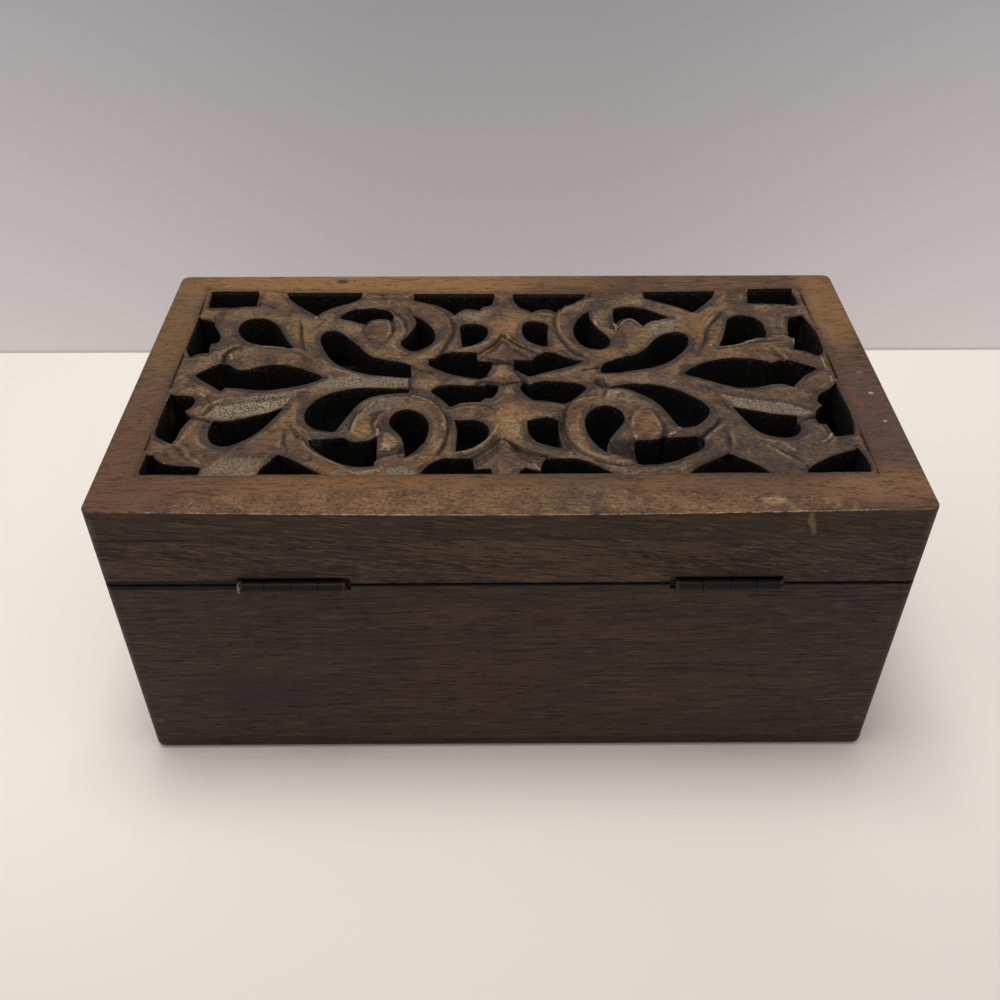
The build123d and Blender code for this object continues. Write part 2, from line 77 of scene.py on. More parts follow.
# Shader nodes. A Wire is a socket that can stand in a sum, and a Graph is the node tree of a material or of
# the world.
class Wire:
    def __init__(self, graph, socket):
        self.graph = graph
        self.socket = socket

    def maths(self, operation, first, second):
        return self.graph.node("ShaderNodeMath", {"operation": operation}, {0: first, 1: second})

    def __add__(self, other):
        return self.maths("ADD", self, other)

    def __radd__(self, other):
        return self.maths("ADD", other, self)

    def __sub__(self, other):
        return self.maths("SUBTRACT", self, other)

    def __rsub__(self, other):
        return self.maths("SUBTRACT", other, self)

    def __mul__(self, other):
        return self.maths("MULTIPLY", self, other)

    def __rmul__(self, other):
        return self.maths("MULTIPLY", other, self)

    def __truediv__(self, other):
        return self.maths("DIVIDE", self, other)

    def least(self, other):
        return self.maths("MINIMUM", self, other)

    def most(self, other):
        return self.maths("MAXIMUM", self, other)

    def size(self):
        return self.maths("ABSOLUTE", self, 0.0)

    def ramp(self, low, high, most=None):  # eased from 0 at low to 1 at high, or to another most
        eased = self.graph.node(
            "ShaderNodeMapRange",
            {"interpolation_type": "SMOOTHSTEP"},
            {0: self, 1: low, 2: high, 3: 0.0, 4: 1.0},
        )
        return eased if most is None else eased * most


class Graph:
    def __init__(self, name, library=bpy.data.materials):
        self.owner = library.new(name)
        self.owner.use_nodes = True
        self.nodes = self.owner.node_tree.nodes
        self.links = self.owner.node_tree.links
        self.nodes.clear()

    def node(self, kind, settings=None, sockets=None, output=0):
        made = self.nodes.new(kind)
        for name, value in (settings or {}).items():
            setattr(made, name, value)
        for name, value in (sockets or {}).items():
            if isinstance(value, Wire):
                self.links.new(value.socket, made.inputs[name])
            else:
                made.inputs[name].default_value = value
        return Wire(self, made.outputs[output]) if made.outputs else None

    def place(self):  # where a point of the piece is, in millimetres
        spot = self.node("ShaderNodeTexCoord", output="Object")
        return self.node("ShaderNodeVectorMath", {"operation": "SCALE"}, {0: spot, "Scale": 1 / mm})

    def split(self, vector):
        parts = self.node("ShaderNodeSeparateXYZ", None, {0: vector}).socket.node
        return [Wire(self, socket) for socket in parts.outputs]

    def join(self, x, y, z):
        return self.node("ShaderNodeCombineXYZ", None, {0: x, 1: y, 2: z})

    def noise(self, vector, scale=1.0, detail=2.0, rough=0.5):
        sockets = {"Vector": vector, "Scale": scale, "Detail": detail, "Roughness": rough}
        return self.node("ShaderNodeTexNoise", None, sockets)

    def reach(self, x, y):  # how far out these two go together
        return self.node("ShaderNodeVectorMath", {"operation": "LENGTH"}, {0: self.join(x, y, 0.0)}, "Value")

    def attribute(self, name):
        return self.node("ShaderNodeAttribute", {"attribute_name": name}, None, "Fac")

    def mix(self, share, first, second):  # two colours
        return self.node("ShaderNodeMix", {"data_type": "RGBA"}, {0: share, 6: first, 7: second}, 2)

    def shaded(self, colour, share):  # the colour times a number
        return self.node("ShaderNodeVectorMath", {"operation": "SCALE"}, {0: colour, "Scale": share})

    def finish(self, colour, roughness, height=None, depth=0.1, **fixed):
        sockets = {"Base Color": colour, "Roughness": roughness}
        for name, value in fixed.items():
            sockets[name.replace("_", " ")] = value
        if height is not None:
            bump = {"Height": height, "Distance": depth * mm, "Strength": 1.0}
            sockets["Normal"] = self.node("ShaderNodeBump", None, bump)
        surface = self.node("ShaderNodeBsdfPrincipled", None, sockets)
        self.node("ShaderNodeOutputMaterial", None, {"Surface": surface})
        return self.owner


def srgb(red, green, blue):  # a colour given as 0 to 255, by the numbers of the sRGB standard
    parts = []
    for value in (red, green, blue):
        share = value / 255
        parts.append(share / 12.92 if share <= 0.04045 else ((share + 0.055) / 1.055) ** 2.4)
    return (*parts, 1.0)


# Stage: a pale table top, and behind it a wall that only the camera sees, and only from its front. Both carry
# painted light: the table is painted lighter toward +x and at the back and darker toward the camera, and the
# wall is painted darker higher up and in its middle, with a line of painted shade at its foot
stage = {
    "tableSize": 6.0,
    "tableRough": 0.6,
    "tableLitLeft": srgb(251, 244, 234),
    "tableShadedRight": srgb(239, 232, 223),
    "tableShadedNear": srgb(226, 219, 210),
    "litLeftFade": (-260, 260),
    "litBackFade": (-170, 60),
    "shadedNearFade": (60, 200, 0.9),
    "wallY": -173.0,
    "wallLitLow": srgb(203, 194, 191),
    "wallShadedHigh": srgb(169, 164, 166),
    "wallFadeHeight": 165.0,
    "wallMiddleShade": 0.78,
    "wallMiddleShadeFade": (20, 260.0),
    "wallFootShade": srgb(184, 176, 170),
    "wallFootShadeFade": (0.8, 2.4),
    "skyColour": srgb(214, 211, 208),
}


def addStage(settings):
    bpy.ops.object.select_all(action="DESELECT")
    bpy.ops.mesh.primitive_plane_add(size=settings["tableSize"])
    table = bpy.context.object
    table.name = "table_top"
    graph = Graph("tablePaintedLight")
    x, y = graph.split(graph.place())[:2]
    # painted light on the table: lighter toward +x and at the back, painted shade toward -x and toward the
    # camera
    litShare = x.ramp(*settings["litLeftFade"]).most(1 - y.ramp(*settings["litBackFade"]))
    paint = graph.mix(litShare, settings["tableShadedRight"], settings["tableLitLeft"])
    paint = graph.mix(y.ramp(*settings["shadedNearFade"]), paint, settings["tableShadedNear"])
    table.data.materials.append(graph.finish(paint, settings["tableRough"]))

    bpy.ops.mesh.primitive_plane_add(size=settings["tableSize"])
    wall = bpy.context.object
    wall.name = "back_wall_panel"
    bpy.ops.object.mode_set(mode="EDIT")
    bpy.ops.mesh.select_all(action="SELECT")
    bpy.ops.transform.translate(value=(0, -settings["tableSize"] / 2, 0))
    bpy.ops.object.mode_set(mode="OBJECT")
    wall.rotation_euler = (-math.pi / 2, 0, 0)
    wall.location = (0, settings["wallY"] * mm, 0)
    bpy.ops.object.transform_apply(location=True, rotation=True)
    graph = Graph("wallPaintedLight")
    # the glowing wall is painted with light and shade: lighter low down, darker higher up and in its middle,
    # and a dark line of painted shade where it meets the table
    x, height = graph.split(graph.place())[::2]
    fade = (height / settings["wallFadeHeight"]).least(1.0)
    shade = graph.mix(fade, settings["wallLitLow"], settings["wallShadedHigh"])
    middle = settings["wallMiddleShade"]
    middleShade = middle + (1 - middle) * x.size().ramp(*settings["wallMiddleShadeFade"])
    shade = graph.mix(1 - height.ramp(*settings["wallFootShadeFade"]), shade, settings["wallFootShade"])
    glow = graph.node("ShaderNodeEmission", None, {"Color": graph.shaded(shade, middleShade)})
    clear = graph.node("ShaderNodeBsdfTransparent")
    seen = graph.node("ShaderNodeLightPath", output="Is Camera Ray")
    behind = graph.node("ShaderNodeNewGeometry", output="Backfacing")
    shown = graph.node("ShaderNodeMixShader", None, {0: seen * (1 - behind), 1: clear, 2: glow})
    graph.node("ShaderNodeOutputMaterial", None, {"Surface": shown})
    wall.data.materials.append(graph.owner)


addStage(stage)
print("stage set")


# Light: an even room, and one soft lamp overhead, a little to the photograph's left
light = {
    "roomColour": (1.0, 1.0, 1.0, 1.0),
    "roomStrength": 0.46,
    "lampPlace": (60, -30, 1000),
    "lampSize": 0.38,
    "lampPower": 5.4,
    "lampColour": (1.0, 0.97, 0.93),
}


def addLight(settings):
    graph = Graph("room", bpy.data.worlds)
    lit = {"Color": settings["roomColour"], "Strength": settings["roomStrength"]}
    room = graph.node("ShaderNodeBackground", None, lit)
    sky = graph.node("ShaderNodeBackground", None, {"Color": stage["skyColour"]})
    seen = graph.node("ShaderNodeLightPath", output="Is Camera Ray")
    shown = graph.node("ShaderNodeMixShader", None, {0: seen, 1: room, 2: sky})
    graph.node("ShaderNodeOutputWorld", None, {"Surface": shown})
    bpy.context.scene.world = graph.owner

    place = Vector(settings["lampPlace"]) * mm
    turn = (-place).to_track_quat("-Z", "Y").to_euler()
    bpy.ops.object.light_add(type="AREA", location=place, rotation=turn)
    lamp = bpy.context.object
    lamp.name = "wideLamp"
    lamp.data.size = settings["lampSize"]
    lamp.data.energy = settings["lampPower"]
    lamp.data.color = settings["lampColour"]


addLight(light)
print("lights placed")


# Places on the lid are given as seen from the hinge side: u to the right, v away from the hinge edge, in the
# millimetres of the carving's drawing. The drawing is a little crowded at its left end, so it is evened out
# and then fitted into the lid's frame. The carved field is a little off the middle of the lid.
lidLow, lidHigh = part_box("carved_board")
lidTop = lidHigh.z / mm
lidUnder = lidLow.z / mm
hingeEdge = lidHigh.y / mm
lidEnd = lidHigh.x / mm
drawing = {"left": -102.8, "right": 103.0, "near": 14.2, "far": 115.4, "crowding": 0.000136}
frameWidth = {"ends": 12.2, "hinge": 15.4, "front": 9.8}
fieldOffset = 0.9
fieldEnd = lidEnd - frameWidth["ends"]
fieldHinge = hingeEdge - frameWidth["hinge"]
fieldFront = -hingeEdge + frameWidth["front"]
partingMiddle = (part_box("lid_back_rail")[0].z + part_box("back_wall")[1].z) / 2 / mm


def evened(u):
    return u / (1 - drawing["crowding"] * u)


def fromPlan(point):
    u, v = point
    left = evened(drawing["left"])
    right = evened(drawing["right"])
    across = (left + right - 2 * evened(u)) / (right - left)
    inward = (v - drawing["near"]) / (drawing["far"] - drawing["near"])
    return (fieldOffset + across * fieldEnd, fieldHinge + inward * (fieldFront - fieldHinge))


# Wood. Every board is cut from the same kind of brown hardwood: short dark pores along the grain, darker
# streaks, and broad patches where the stain took more or less. A layer of grain is its length and width in
# millimetres, its detail and its roughness. A tint comes in between the two levels of its layer that are
# given, and the third number is its strength.
wood = {
    "grainWander": 5.0,
    "wanderSize": (85.0, 60.0, 45.0),
    "crossWander": 0.6,
    "figure": (60.0, 5.0, 3.0, 0.5),
    "streaks": (16.0, 0.85, 2.5, 0.6),
    "pores": (3.4, 0.24, 1.5, 0.6),
    "fibres": (5.0, 0.30, 1.0, 0.5),
    "flecks": (8.0, 0.6, 2.0, 0.5),
    "patchSize": 42.0,
    "secondPatch": {"shift": 130, "narrow": 1.6, "scale": 0.8},
    "figureTint": (0.34, 0.66, 0.5),
    "warmTint": (0.50, 0.68, 0.75),
    "purpleTint": (0.44, 0.64, 0.6),
    "endTint": (30, 110, 0.35),
    "fleckTint": (0.50, 0.64, 0.75),
    "streakEdge": (0.50, 0.70),
    "poreEdge": (0.57, 0.68),
    "poresByStreaks": (0.36, 0.56),
    "streakTint": 0.8,
    "poreTint": 0.85,
    "fibreLight": (0.7, 0.6),
    "poreDepth": 0.7,
    "streakDepth": 0.3,
    "rag": (0.45, 3.0, 0.65),
    "edgeWearHighlight": 0.24,
    "edgeRagged": 1.0,
    "wearHighlightTint": 0.4,
    "topShade": 0.93,
    "cornerSpared": 0.35,
    "roughness": (0.52, 0.2, 0.12),
    "ragRelief": 0.6,
    "relief": 0.16,
    "shine": 0.18,
    # the boards' inner faces, painted dark: painted shade inside the box
    "inside": srgb(24, 18, 16),
    "insideShadeFrom": (8.4, 8.9, 0.85),
}
# The dark line of the parting, painted shade in the gap, which is wider toward one end
partingGapShade = {"ragged": 0.8, "edge": (0.45, 1.0), "depth": (0.4, 1.4), "wider": (64, 72, 1.1),
              "colour": srgb(10, 8, 8)}
# The lid's hinge edge is worn down in the middle of its length
frameWear = {"depth": 1.9, "start": 48.0, "spare": 0.3, "tintFrom": (40, 60), "curve": 1.5, "longest": 1.2}
# Where in the plank each board's grain starts, how it slopes, and which way the board runs
boards = {
    "back_wall": {"offset": (3.1, 7.7, 1.3), "slope": 0.02, "litAndShadedTones": "side"},
    "front_wall": {"offset": (13.4, 2.2, 8.9), "slope": -0.02, "litAndShadedTones": "side"},
    "left_wall": {"offset": (5.9, 11.3, 4.1), "slope": 0.03, "litAndShadedTones": "side", "along": 1},
    "right_wall": {"offset": (8.2, 3.6, 17.2), "slope": -0.03, "litAndShadedTones": "side", "along": 1},
    "bottom_board": {"offset": (21.0, 9.1, 6.6), "slope": 0.01, "litAndShadedTones": "side", "shade": 0.72},
    "lid_back_rail": {"offset": (2.7, 15.2, 9.4), "slope": -0.13, "litAndShadedTones": "rail"},
    "lid_front_rail": {"offset": (9.3, 6.1, 3.3), "slope": 0.04, "litAndShadedTones": "rail"},
    "lid_left_rail": {"offset": (4.4, 18.5, 2.9), "slope": 0.02, "litAndShadedTones": "rail", "along": 1},
    "lid_right_rail": {"offset": (17.7, 1.9, 12.0), "slope": -0.02, "litAndShadedTones": "rail", "along": 1},
}
# The same wood in three copies: the top tones are the lit copy, and the side and rail tones are darker copies
# for the upright faces, painted shade
litAndShadedTones = {
    "side": {
        "brown": srgb(55, 43, 35),
        "light": srgb(80, 59, 44),
        "dark": srgb(34, 25, 21),
        "pore": srgb(20, 15, 13),
        "purple": srgb(50, 41, 43),
        "warm": srgb(68, 48, 35),
        "wearAndHighlight": srgb(112, 90, 72),
    },
    "rail": {
        "brown": srgb(59, 45, 34),
        "light": srgb(98, 74, 53),
        "dark": srgb(28, 20, 17),
        "pore": srgb(20, 15, 12),
        "purple": srgb(50, 41, 42),
        "warm": srgb(72, 51, 35),
        "wearAndHighlight": srgb(118, 96, 76),
    },
    "top": {
        "brown": srgb(89, 64, 43),
        "light": srgb(108, 79, 51),
        "dark": srgb(65, 47, 34),
        "pore": srgb(48, 35, 26),
        "purple": srgb(84, 65, 56),
        "warm": srgb(120, 86, 50),
        "wearAndHighlight": srgb(170, 148, 124),
    },
}


# Colour and height of the wood, the layers that make them, and the pale line along the outer edges of the
# box, which is partly wear and partly painted highlight where the rounded edges catch the light
def woodSurface(graph, board, tone):
    place = graph.place()
    x, y, z = graph.split(place)
    length, across, rise = (y, x, z) if board.get("along", 0) else (x, y, z)
    shift = board["offset"]
    wanderLength, wanderWidth, wanderRise = wood["wanderSize"]
    bent = graph.join(length / wanderLength + shift[0], across / wanderWidth, rise / wanderRise)
    drift = (graph.noise(bent, 1.0, 1.0) - 0.5) * wood["grainWander"]
    across = across + (drift + length * board["slope"]) * wood["crossWander"]
    rise = rise + drift + length * board.get("sideSlope", board["slope"])

    def grain(layer):
        long, wide, detail, rough = wood[layer]
        spot = graph.join(length / long + shift[0], across / wide + shift[1], rise / wide + shift[2])
        return graph.noise(spot, 1.0, detail, rough)

    figure = grain("figure")
    streaks = grain("streaks")
    fibres = grain("fibres")
    flecks = grain("flecks")
    patch = graph.noise(place, 1 / wood["patchSize"], 2.0)
    second = wood["secondPatch"]
    spot = graph.join(x + second["shift"], y * second["narrow"], z * second["narrow"])
    patchTwo = graph.noise(spot, second["scale"] / wood["patchSize"], 2.0)

    colour = graph.mix(figure.ramp(*wood["figureTint"]), tone["brown"], tone["light"])
    colour = graph.mix(patch.ramp(*wood["warmTint"]), colour, tone["warm"])
    outer = x.size().ramp(*wood["endTint"])
    colour = graph.mix(patchTwo.ramp(*wood["purpleTint"]) + outer, colour, tone["purple"])
    colour = graph.mix(flecks.ramp(*wood["fleckTint"]), colour, tone["light"])
    darkStreak = streaks.ramp(*wood["streakEdge"])
    colour = graph.mix(darkStreak * wood["streakTint"], colour, tone["dark"])
    poreMark = grain("pores").ramp(*wood["poreEdge"]) * streaks.ramp(*wood["poresByStreaks"])
    colour = graph.mix(poreMark * wood["poreTint"], colour, tone["pore"])
    least, share = wood["fibreLight"]
    colour = graph.shaded(colour, (least + fibres * share) * board.get("shade", 1.0))

    toSide = lidEnd - x.size()
    toFace = hingeEdge - y.size()
    end = x / lidEnd
    bow = ((1 - end * end) * frameWear["depth"] - frameWear["spare"]).most(0.0)
    wornDown = bow * y.ramp(*frameWear["tintFrom"])
    toTop = z.least(lidTop - wornDown - z).most(0.0)
    corner = toSide.most(toFace) + wood["cornerSpared"]
    edge = corner.least(toSide.least(toFace).most(toTop))
    rag = graph.noise(place, *wood["rag"])
    # the pale edge line: partly wear, partly painted highlight
    wearAndHighlight = 1 - (edge + (rag - 0.5) * wood["edgeRagged"]).ramp(0.0, wood["edgeWearHighlight"])
    height = (1 - poreMark) * wood["poreDepth"] + (1 - darkStreak) * wood["streakDepth"]
    return {"place": place, "x": x, "y": y, "z": z, "colour": colour, "wearAndHighlight": wearAndHighlight, "height": height,
            "rag": rag, "pores": poreMark, "streaks": darkStreak, "fibres": fibres, "flecks": flecks,
            "patch": patch}


# Marks on the hinge side: the seam under the lid board, open at one end, a scratch and a dull patch
backMarks = {
    "scratch": {"x": -80.6, "z": 96.6, "lean": 0.28, "width": 1.2, "height": 4.6, "strength": 0.8,
                "colour": srgb(112, 96, 70)},
    "dull": {"x": 76.0, "z": 27.0, "lean": 0.0, "width": 20.0, "height": 13.0, "strength": 0.6,
             "colour": srgb(42, 40, 41)},
}
seamLook = {"open": (84.0, 90.0), "ragged": 8, "edge": (0.2, 0.6), "closed": 0.25, "strength": 0.9,
            "colour": srgb(12, 9, 9)}
markEdge = {"from": 0.5, "to": 1.1, "ragged": 1.2}


def backMark(graph, surface, mark):
    aside = surface["x"] - mark["x"]
    above = surface["z"] - mark["z"]
    away = graph.reach((aside - above * mark["lean"]) / mark["width"], above / mark["height"])
    ragged = (surface["rag"] - 0.5) * markEdge["ragged"]
    inside = 1 - (away + ragged).ramp(markEdge["from"], markEdge["to"])
    return inside * surface["y"].ramp(hingeEdge - 2, hingeEdge - 1) * mark["strength"]


def markBack(graph, surface, colour):
    for mark in backMarks.values():
        colour = graph.mix(backMark(graph, surface, mark), colour, mark["colour"])
    opened = (surface["x"] + (surface["rag"] - 0.5) * seamLook["ragged"]).ramp(*seamLook["open"])
    share = seamLook["closed"] + (1 - seamLook["closed"]) * opened
    seam = (1 - (surface["z"] - lidUnder).size().ramp(*seamLook["edge"])) * share
    return graph.mix(seam * seamLook["strength"], colour, seamLook["colour"])


def boardMaterial(name, board):
    tone = litAndShadedTones[board["litAndShadedTones"]]
    graph = Graph(name + "_wood")
    surface = woodSurface(graph, board, tone)
    # the pale edge line, partly wear and partly painted highlight
    colour = graph.mix(surface["wearAndHighlight"] * wood["wearHighlightTint"], surface["colour"], tone["wearAndHighlight"])
    colour = markBack(graph, surface, colour)
    ragged = (surface["rag"] - 0.5) * partingGapShade["ragged"]
    toParting = (surface["z"] - partingMiddle).size() + ragged - surface["x"].ramp(*partingGapShade["wider"])
    inward = (lidEnd - surface["x"].size()).least(hingeEdge - surface["y"].size())
    # painted shade in the parting gap, darkest at the outer face and fading inward
    gap = (1 - toParting.ramp(*partingGapShade["edge"])) * (1 - inward.ramp(*partingGapShade["depth"]))
    colour = graph.mix(gap, colour, partingGapShade["colour"])
    # painted shade on the boards' inner faces
    colour = graph.mix(inward.ramp(*wood["insideShadeFrom"]), colour, wood["inside"])
    smooth, byPores, byPatch = wood["roughness"]
    roughness = smooth + surface["pores"] * byPores + surface["patch"] * byPatch
    height = surface["height"] + surface["rag"] * wood["ragRelief"]
    return graph.finish(colour, roughness, height, wood["relief"], Specular_IOR_Level=wood["shine"])


def dress(node, material):
    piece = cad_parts[node]
    if not piece.material_slots:
        piece.data.materials.append(material)
    for slot in piece.material_slots:
        slot.material = material


for nodeName, board in boards.items():
    dress(nodeName, boardMaterial(nodeName, board))
print("boards dressed")


# Corner pins: the same wood, seen on its end, a shade paler than the boards round it. Those between the two
# heights of "filled" are filled over, and look like the wall.
pinLook = {
    "colour": srgb(80, 71, 65),
    "ring": srgb(60, 53, 48),
    "ringEdge": (0.4, 0.7),
    "grainSize": 0.35,
    "filled": (40, 72),
    "rough": 0.56,
    "relief": 0.05,
}


def pinMaterial(settings):
    graph = Graph("pin_end_grain")
    fleck = graph.noise(graph.place(), 1 / settings["grainSize"], 2.0)
    colour = graph.mix(fleck.ramp(*settings["ringEdge"]), settings["colour"], settings["ring"])
    wall = woodSurface(graph, boards["back_wall"], litAndShadedTones["side"])
    lowest, highest = settings["filled"]
    filled = wall["z"].ramp(lowest, lowest + 1) * (1 - wall["z"].ramp(highest - 1, highest))
    colour = graph.mix(filled, colour, wall["colour"])
    return graph.finish(colour, settings["rough"], fleck, settings["relief"],
                        Specular_IOR_Level=wood["shine"])


pinWood = pinMaterial(pinLook)
for nodeName in ("box_corner_pins", "lid_corner_pins"):
    dress(nodeName, pinWood)


# Hinges and screws: steel, blacked, with the black rubbed off at the ends of the knuckles, most at one end
steel = {
    "black": srgb(13, 12, 12),
    "dust": srgb(27, 25, 24),
    "bare": srgb(138, 133, 126),
    "scuffNoise": (0.9, 3.0, 0.6),
    "grimeNoise": (0.25, 2.0),
    "rubEdge": (0.1, 1.0),
    "rubRagged": 3.0,
    "rubMost": (70, 74),
    "rubElsewhere": 0.12,
    "scuffed": (0.66, 0.76, 0.2),
    "roughness": (0.30, 0.2),
    "metal": 0.9,
    "relief": 0.04,
    "shine": 0.18,
}


def toKnuckleEnd(x):
    low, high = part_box("right_hinge_pin")
    middle = abs(high.x + low.x) / 2 / mm
    return (high.x - low.x) / 2 / mm - (x.size() - middle).size()


def steelMaterial(name, rub):
    graph = Graph(name)
    place = graph.place()
    x = graph.split(place)[0]
    scuff = graph.noise(place, *steel["scuffNoise"])
    grime = graph.noise(place, *steel["grimeNoise"])
    toEnd = toKnuckleEnd(x) + (scuff - 0.5) * steel["rubRagged"]
    elsewhere = steel["rubElsewhere"]
    rubbed = (1 - toEnd.ramp(*steel["rubEdge"])) * rub
    rubbed = rubbed * (elsewhere + (1 - elsewhere) * x.ramp(*steel["rubMost"]))
    bare = rubbed.most(scuff.ramp(*steel["scuffed"]))
    colour = graph.mix(bare, graph.mix(grime, steel["black"], steel["dust"]), steel["bare"])
    smooth, byGrime = steel["roughness"]
    return graph.finish(colour, smooth + grime * byGrime, scuff, steel["relief"],
                        Metallic=bare * steel["metal"], Specular_IOR_Level=steel["shine"])


hingeSteel = steelMaterial("hinge_steel_rubbed", 1.0)
screwSteel = steelMaterial("screw_steel_blacked", 0.0)
for side in ("left", "right"):
    for part in ("hinge_box_leaf", "hinge_lid_leaf", "hinge_pin"):
        dress(f"{side}_{part}", hingeSteel)
for nodeName in ("box_leaf_screws", "lid_leaf_screws"):
    dress(nodeName, screwSteel)
print("pins, hinges and screws dressed")


def selectOnly(piece):
    bpy.ops.object.select_all(action="DESELECT")
    piece.select_set(True)
    bpy.context.view_layer.objects.active = piece


# Carved lid board. The field between the plain frame is cut by hand: rounded ribs between the openings,
# with a slanting cut along each opening, knife lines, ridges, and low ground beaten with a punch.
carving = {
    "cell": 0.44,
    "rimSpacing": 0.3,
    "rimLevel": 0.01,
    "rimSlope": 0.3,
    "fieldMargin": 0.45,
    "fieldDepth": 0.6,
    "sink": 0.10,
    "crown": 0.30,
    "crownOfRib": 0.2,
    "crownCurve": 1.3,
    "bevelNarrow": 2.0,
    "bevelSpread": 1.5,
    "bevelSlope": 0.40,
    "bevelShare": 0.60,
    "bevelTurn": (0.35, 0.75),
    "bevelSide": (0.4, 2.0),
    "foldEdge": 0.25,
    "foldTaper": 3.5,
    "foldLip": 0.15,
    "lipWidth": 1.6,
    "ridgeFoot": 1.6,
    "ribReach": 4.5,
    "ribLimits": (1.0, 6.0),
    "facetSize": 5.2,
    "facetJitter": 0.45,
    "facetColumns": (-26, 27),
    "facetRows": (-15, 15),
    "facetSeed": 11,
    "facetTilt": 0.11,
    "facetStep": 0.12,
    "facetAtEdge": 0.3,
    "swell": 0.35,
    "swellLevel": 0.6,
    "toolMarks": 0.04,
    "hollowEdge": 1.2,
    "borderDepth": 0.40,
    "borderEdge": (0.1, 0.9),
    "borderAtFront": 0.25,
    "borderFade": (4, 7),
    "frontBow": 3.0,
    "groundDepth": 0.50,
    "groundEdge": 0.7,
    "flushDepth": 0.02,
    "flushEdge": (-0.5, -0.05),
    "leastDepth": 0.04,
    "levelEdge": (0.6, 1.3),
    "levelSide": (0.8, 2.4),
    "frameRings": 6,
    "ringWidth": 2.5,
    "frameLift": 2.0,
    "blockDepth": 40.0,
    "fieldLift": 3.0,
    "fieldLevel": 0.02,
    "turnBlur": 2,
    "smoothAngle": 32,
    "uprightBelow": 0.35,
    "rimTouch": 0.2,
    "largestSmooth": 1.8,
}
# Where the carving's marks lie, in millimetres from an opening, a line or the border, and how strong they are
marks = {
    "ragged": 0.25,
    "clearOfBorder": (0.8, 1.8),
    "bevelEdge": (0.4, 0.3),
    "bevelTurn": (0.35, 0.85),
    "crestAt": 0.4,
    "crestRagged": 0.6,
    "crestWidth": 0.5,
    "crestPatches": (-0.1, 0.9),
    "crestTurn": (0.1, 0.6),
    "borderGroove": (0.1, 0.6),
    "borderFromOpening": (0.8, 2.0),
    "rimGroove": (0.0, 0.5),
    "rimShare": 0.5,
    "cutWidth": 1.15,
    "cutEdge": (0.1, 0.7),
    "ridgeEdge": (0.2, 0.9),
    "ridgeShare": (0.7, 0.3),
    "foldShare": 1.3,
    "foldGroove": (0.6, 0.55),
    "foldCrest": (-0.4, 0.45),
    "foldCrestShare": 0.9,
    "foldLow": (0.1, 0.4),
    "foldLowEnd": 0.6,
    "foldLowShare": 0.8,
    "hollowEdge": 0.8,
    "hollowFull": 1.4,
    "nickRagged": 0.3,
    "nickEdge": (0.25, 0.5),
    "nickLeast": 0.05,
    "punchedEdge": 0.4,
    "paleEdge": 2.2,
    "below": 0.06,
    "aboveUnderside": 0.5,
    "insideBorder": -0.1,
    "nearGrid": 1.0,
    "elsewhere": 9.0,
}
# Smooth noise for the carving and for its marks: the size of the lumps, and the seed
noises = {
    "bevel": (9.0, 5),
    "swell": (13.0, 3),
    "tool": (1.6, 8),
    "ragged": (2.2, 21),
    "crestWearAndHighlight": (5.0, 31),
    "ridge": (3.0, 41),
    "nick": (0.9, 51),
}
lattice = {"cells": 256, "shiftX": 97.3, "shiftY": 61.7}
farOff = 1e3  # in millimetres, past the whole box
tiny = 1e-9
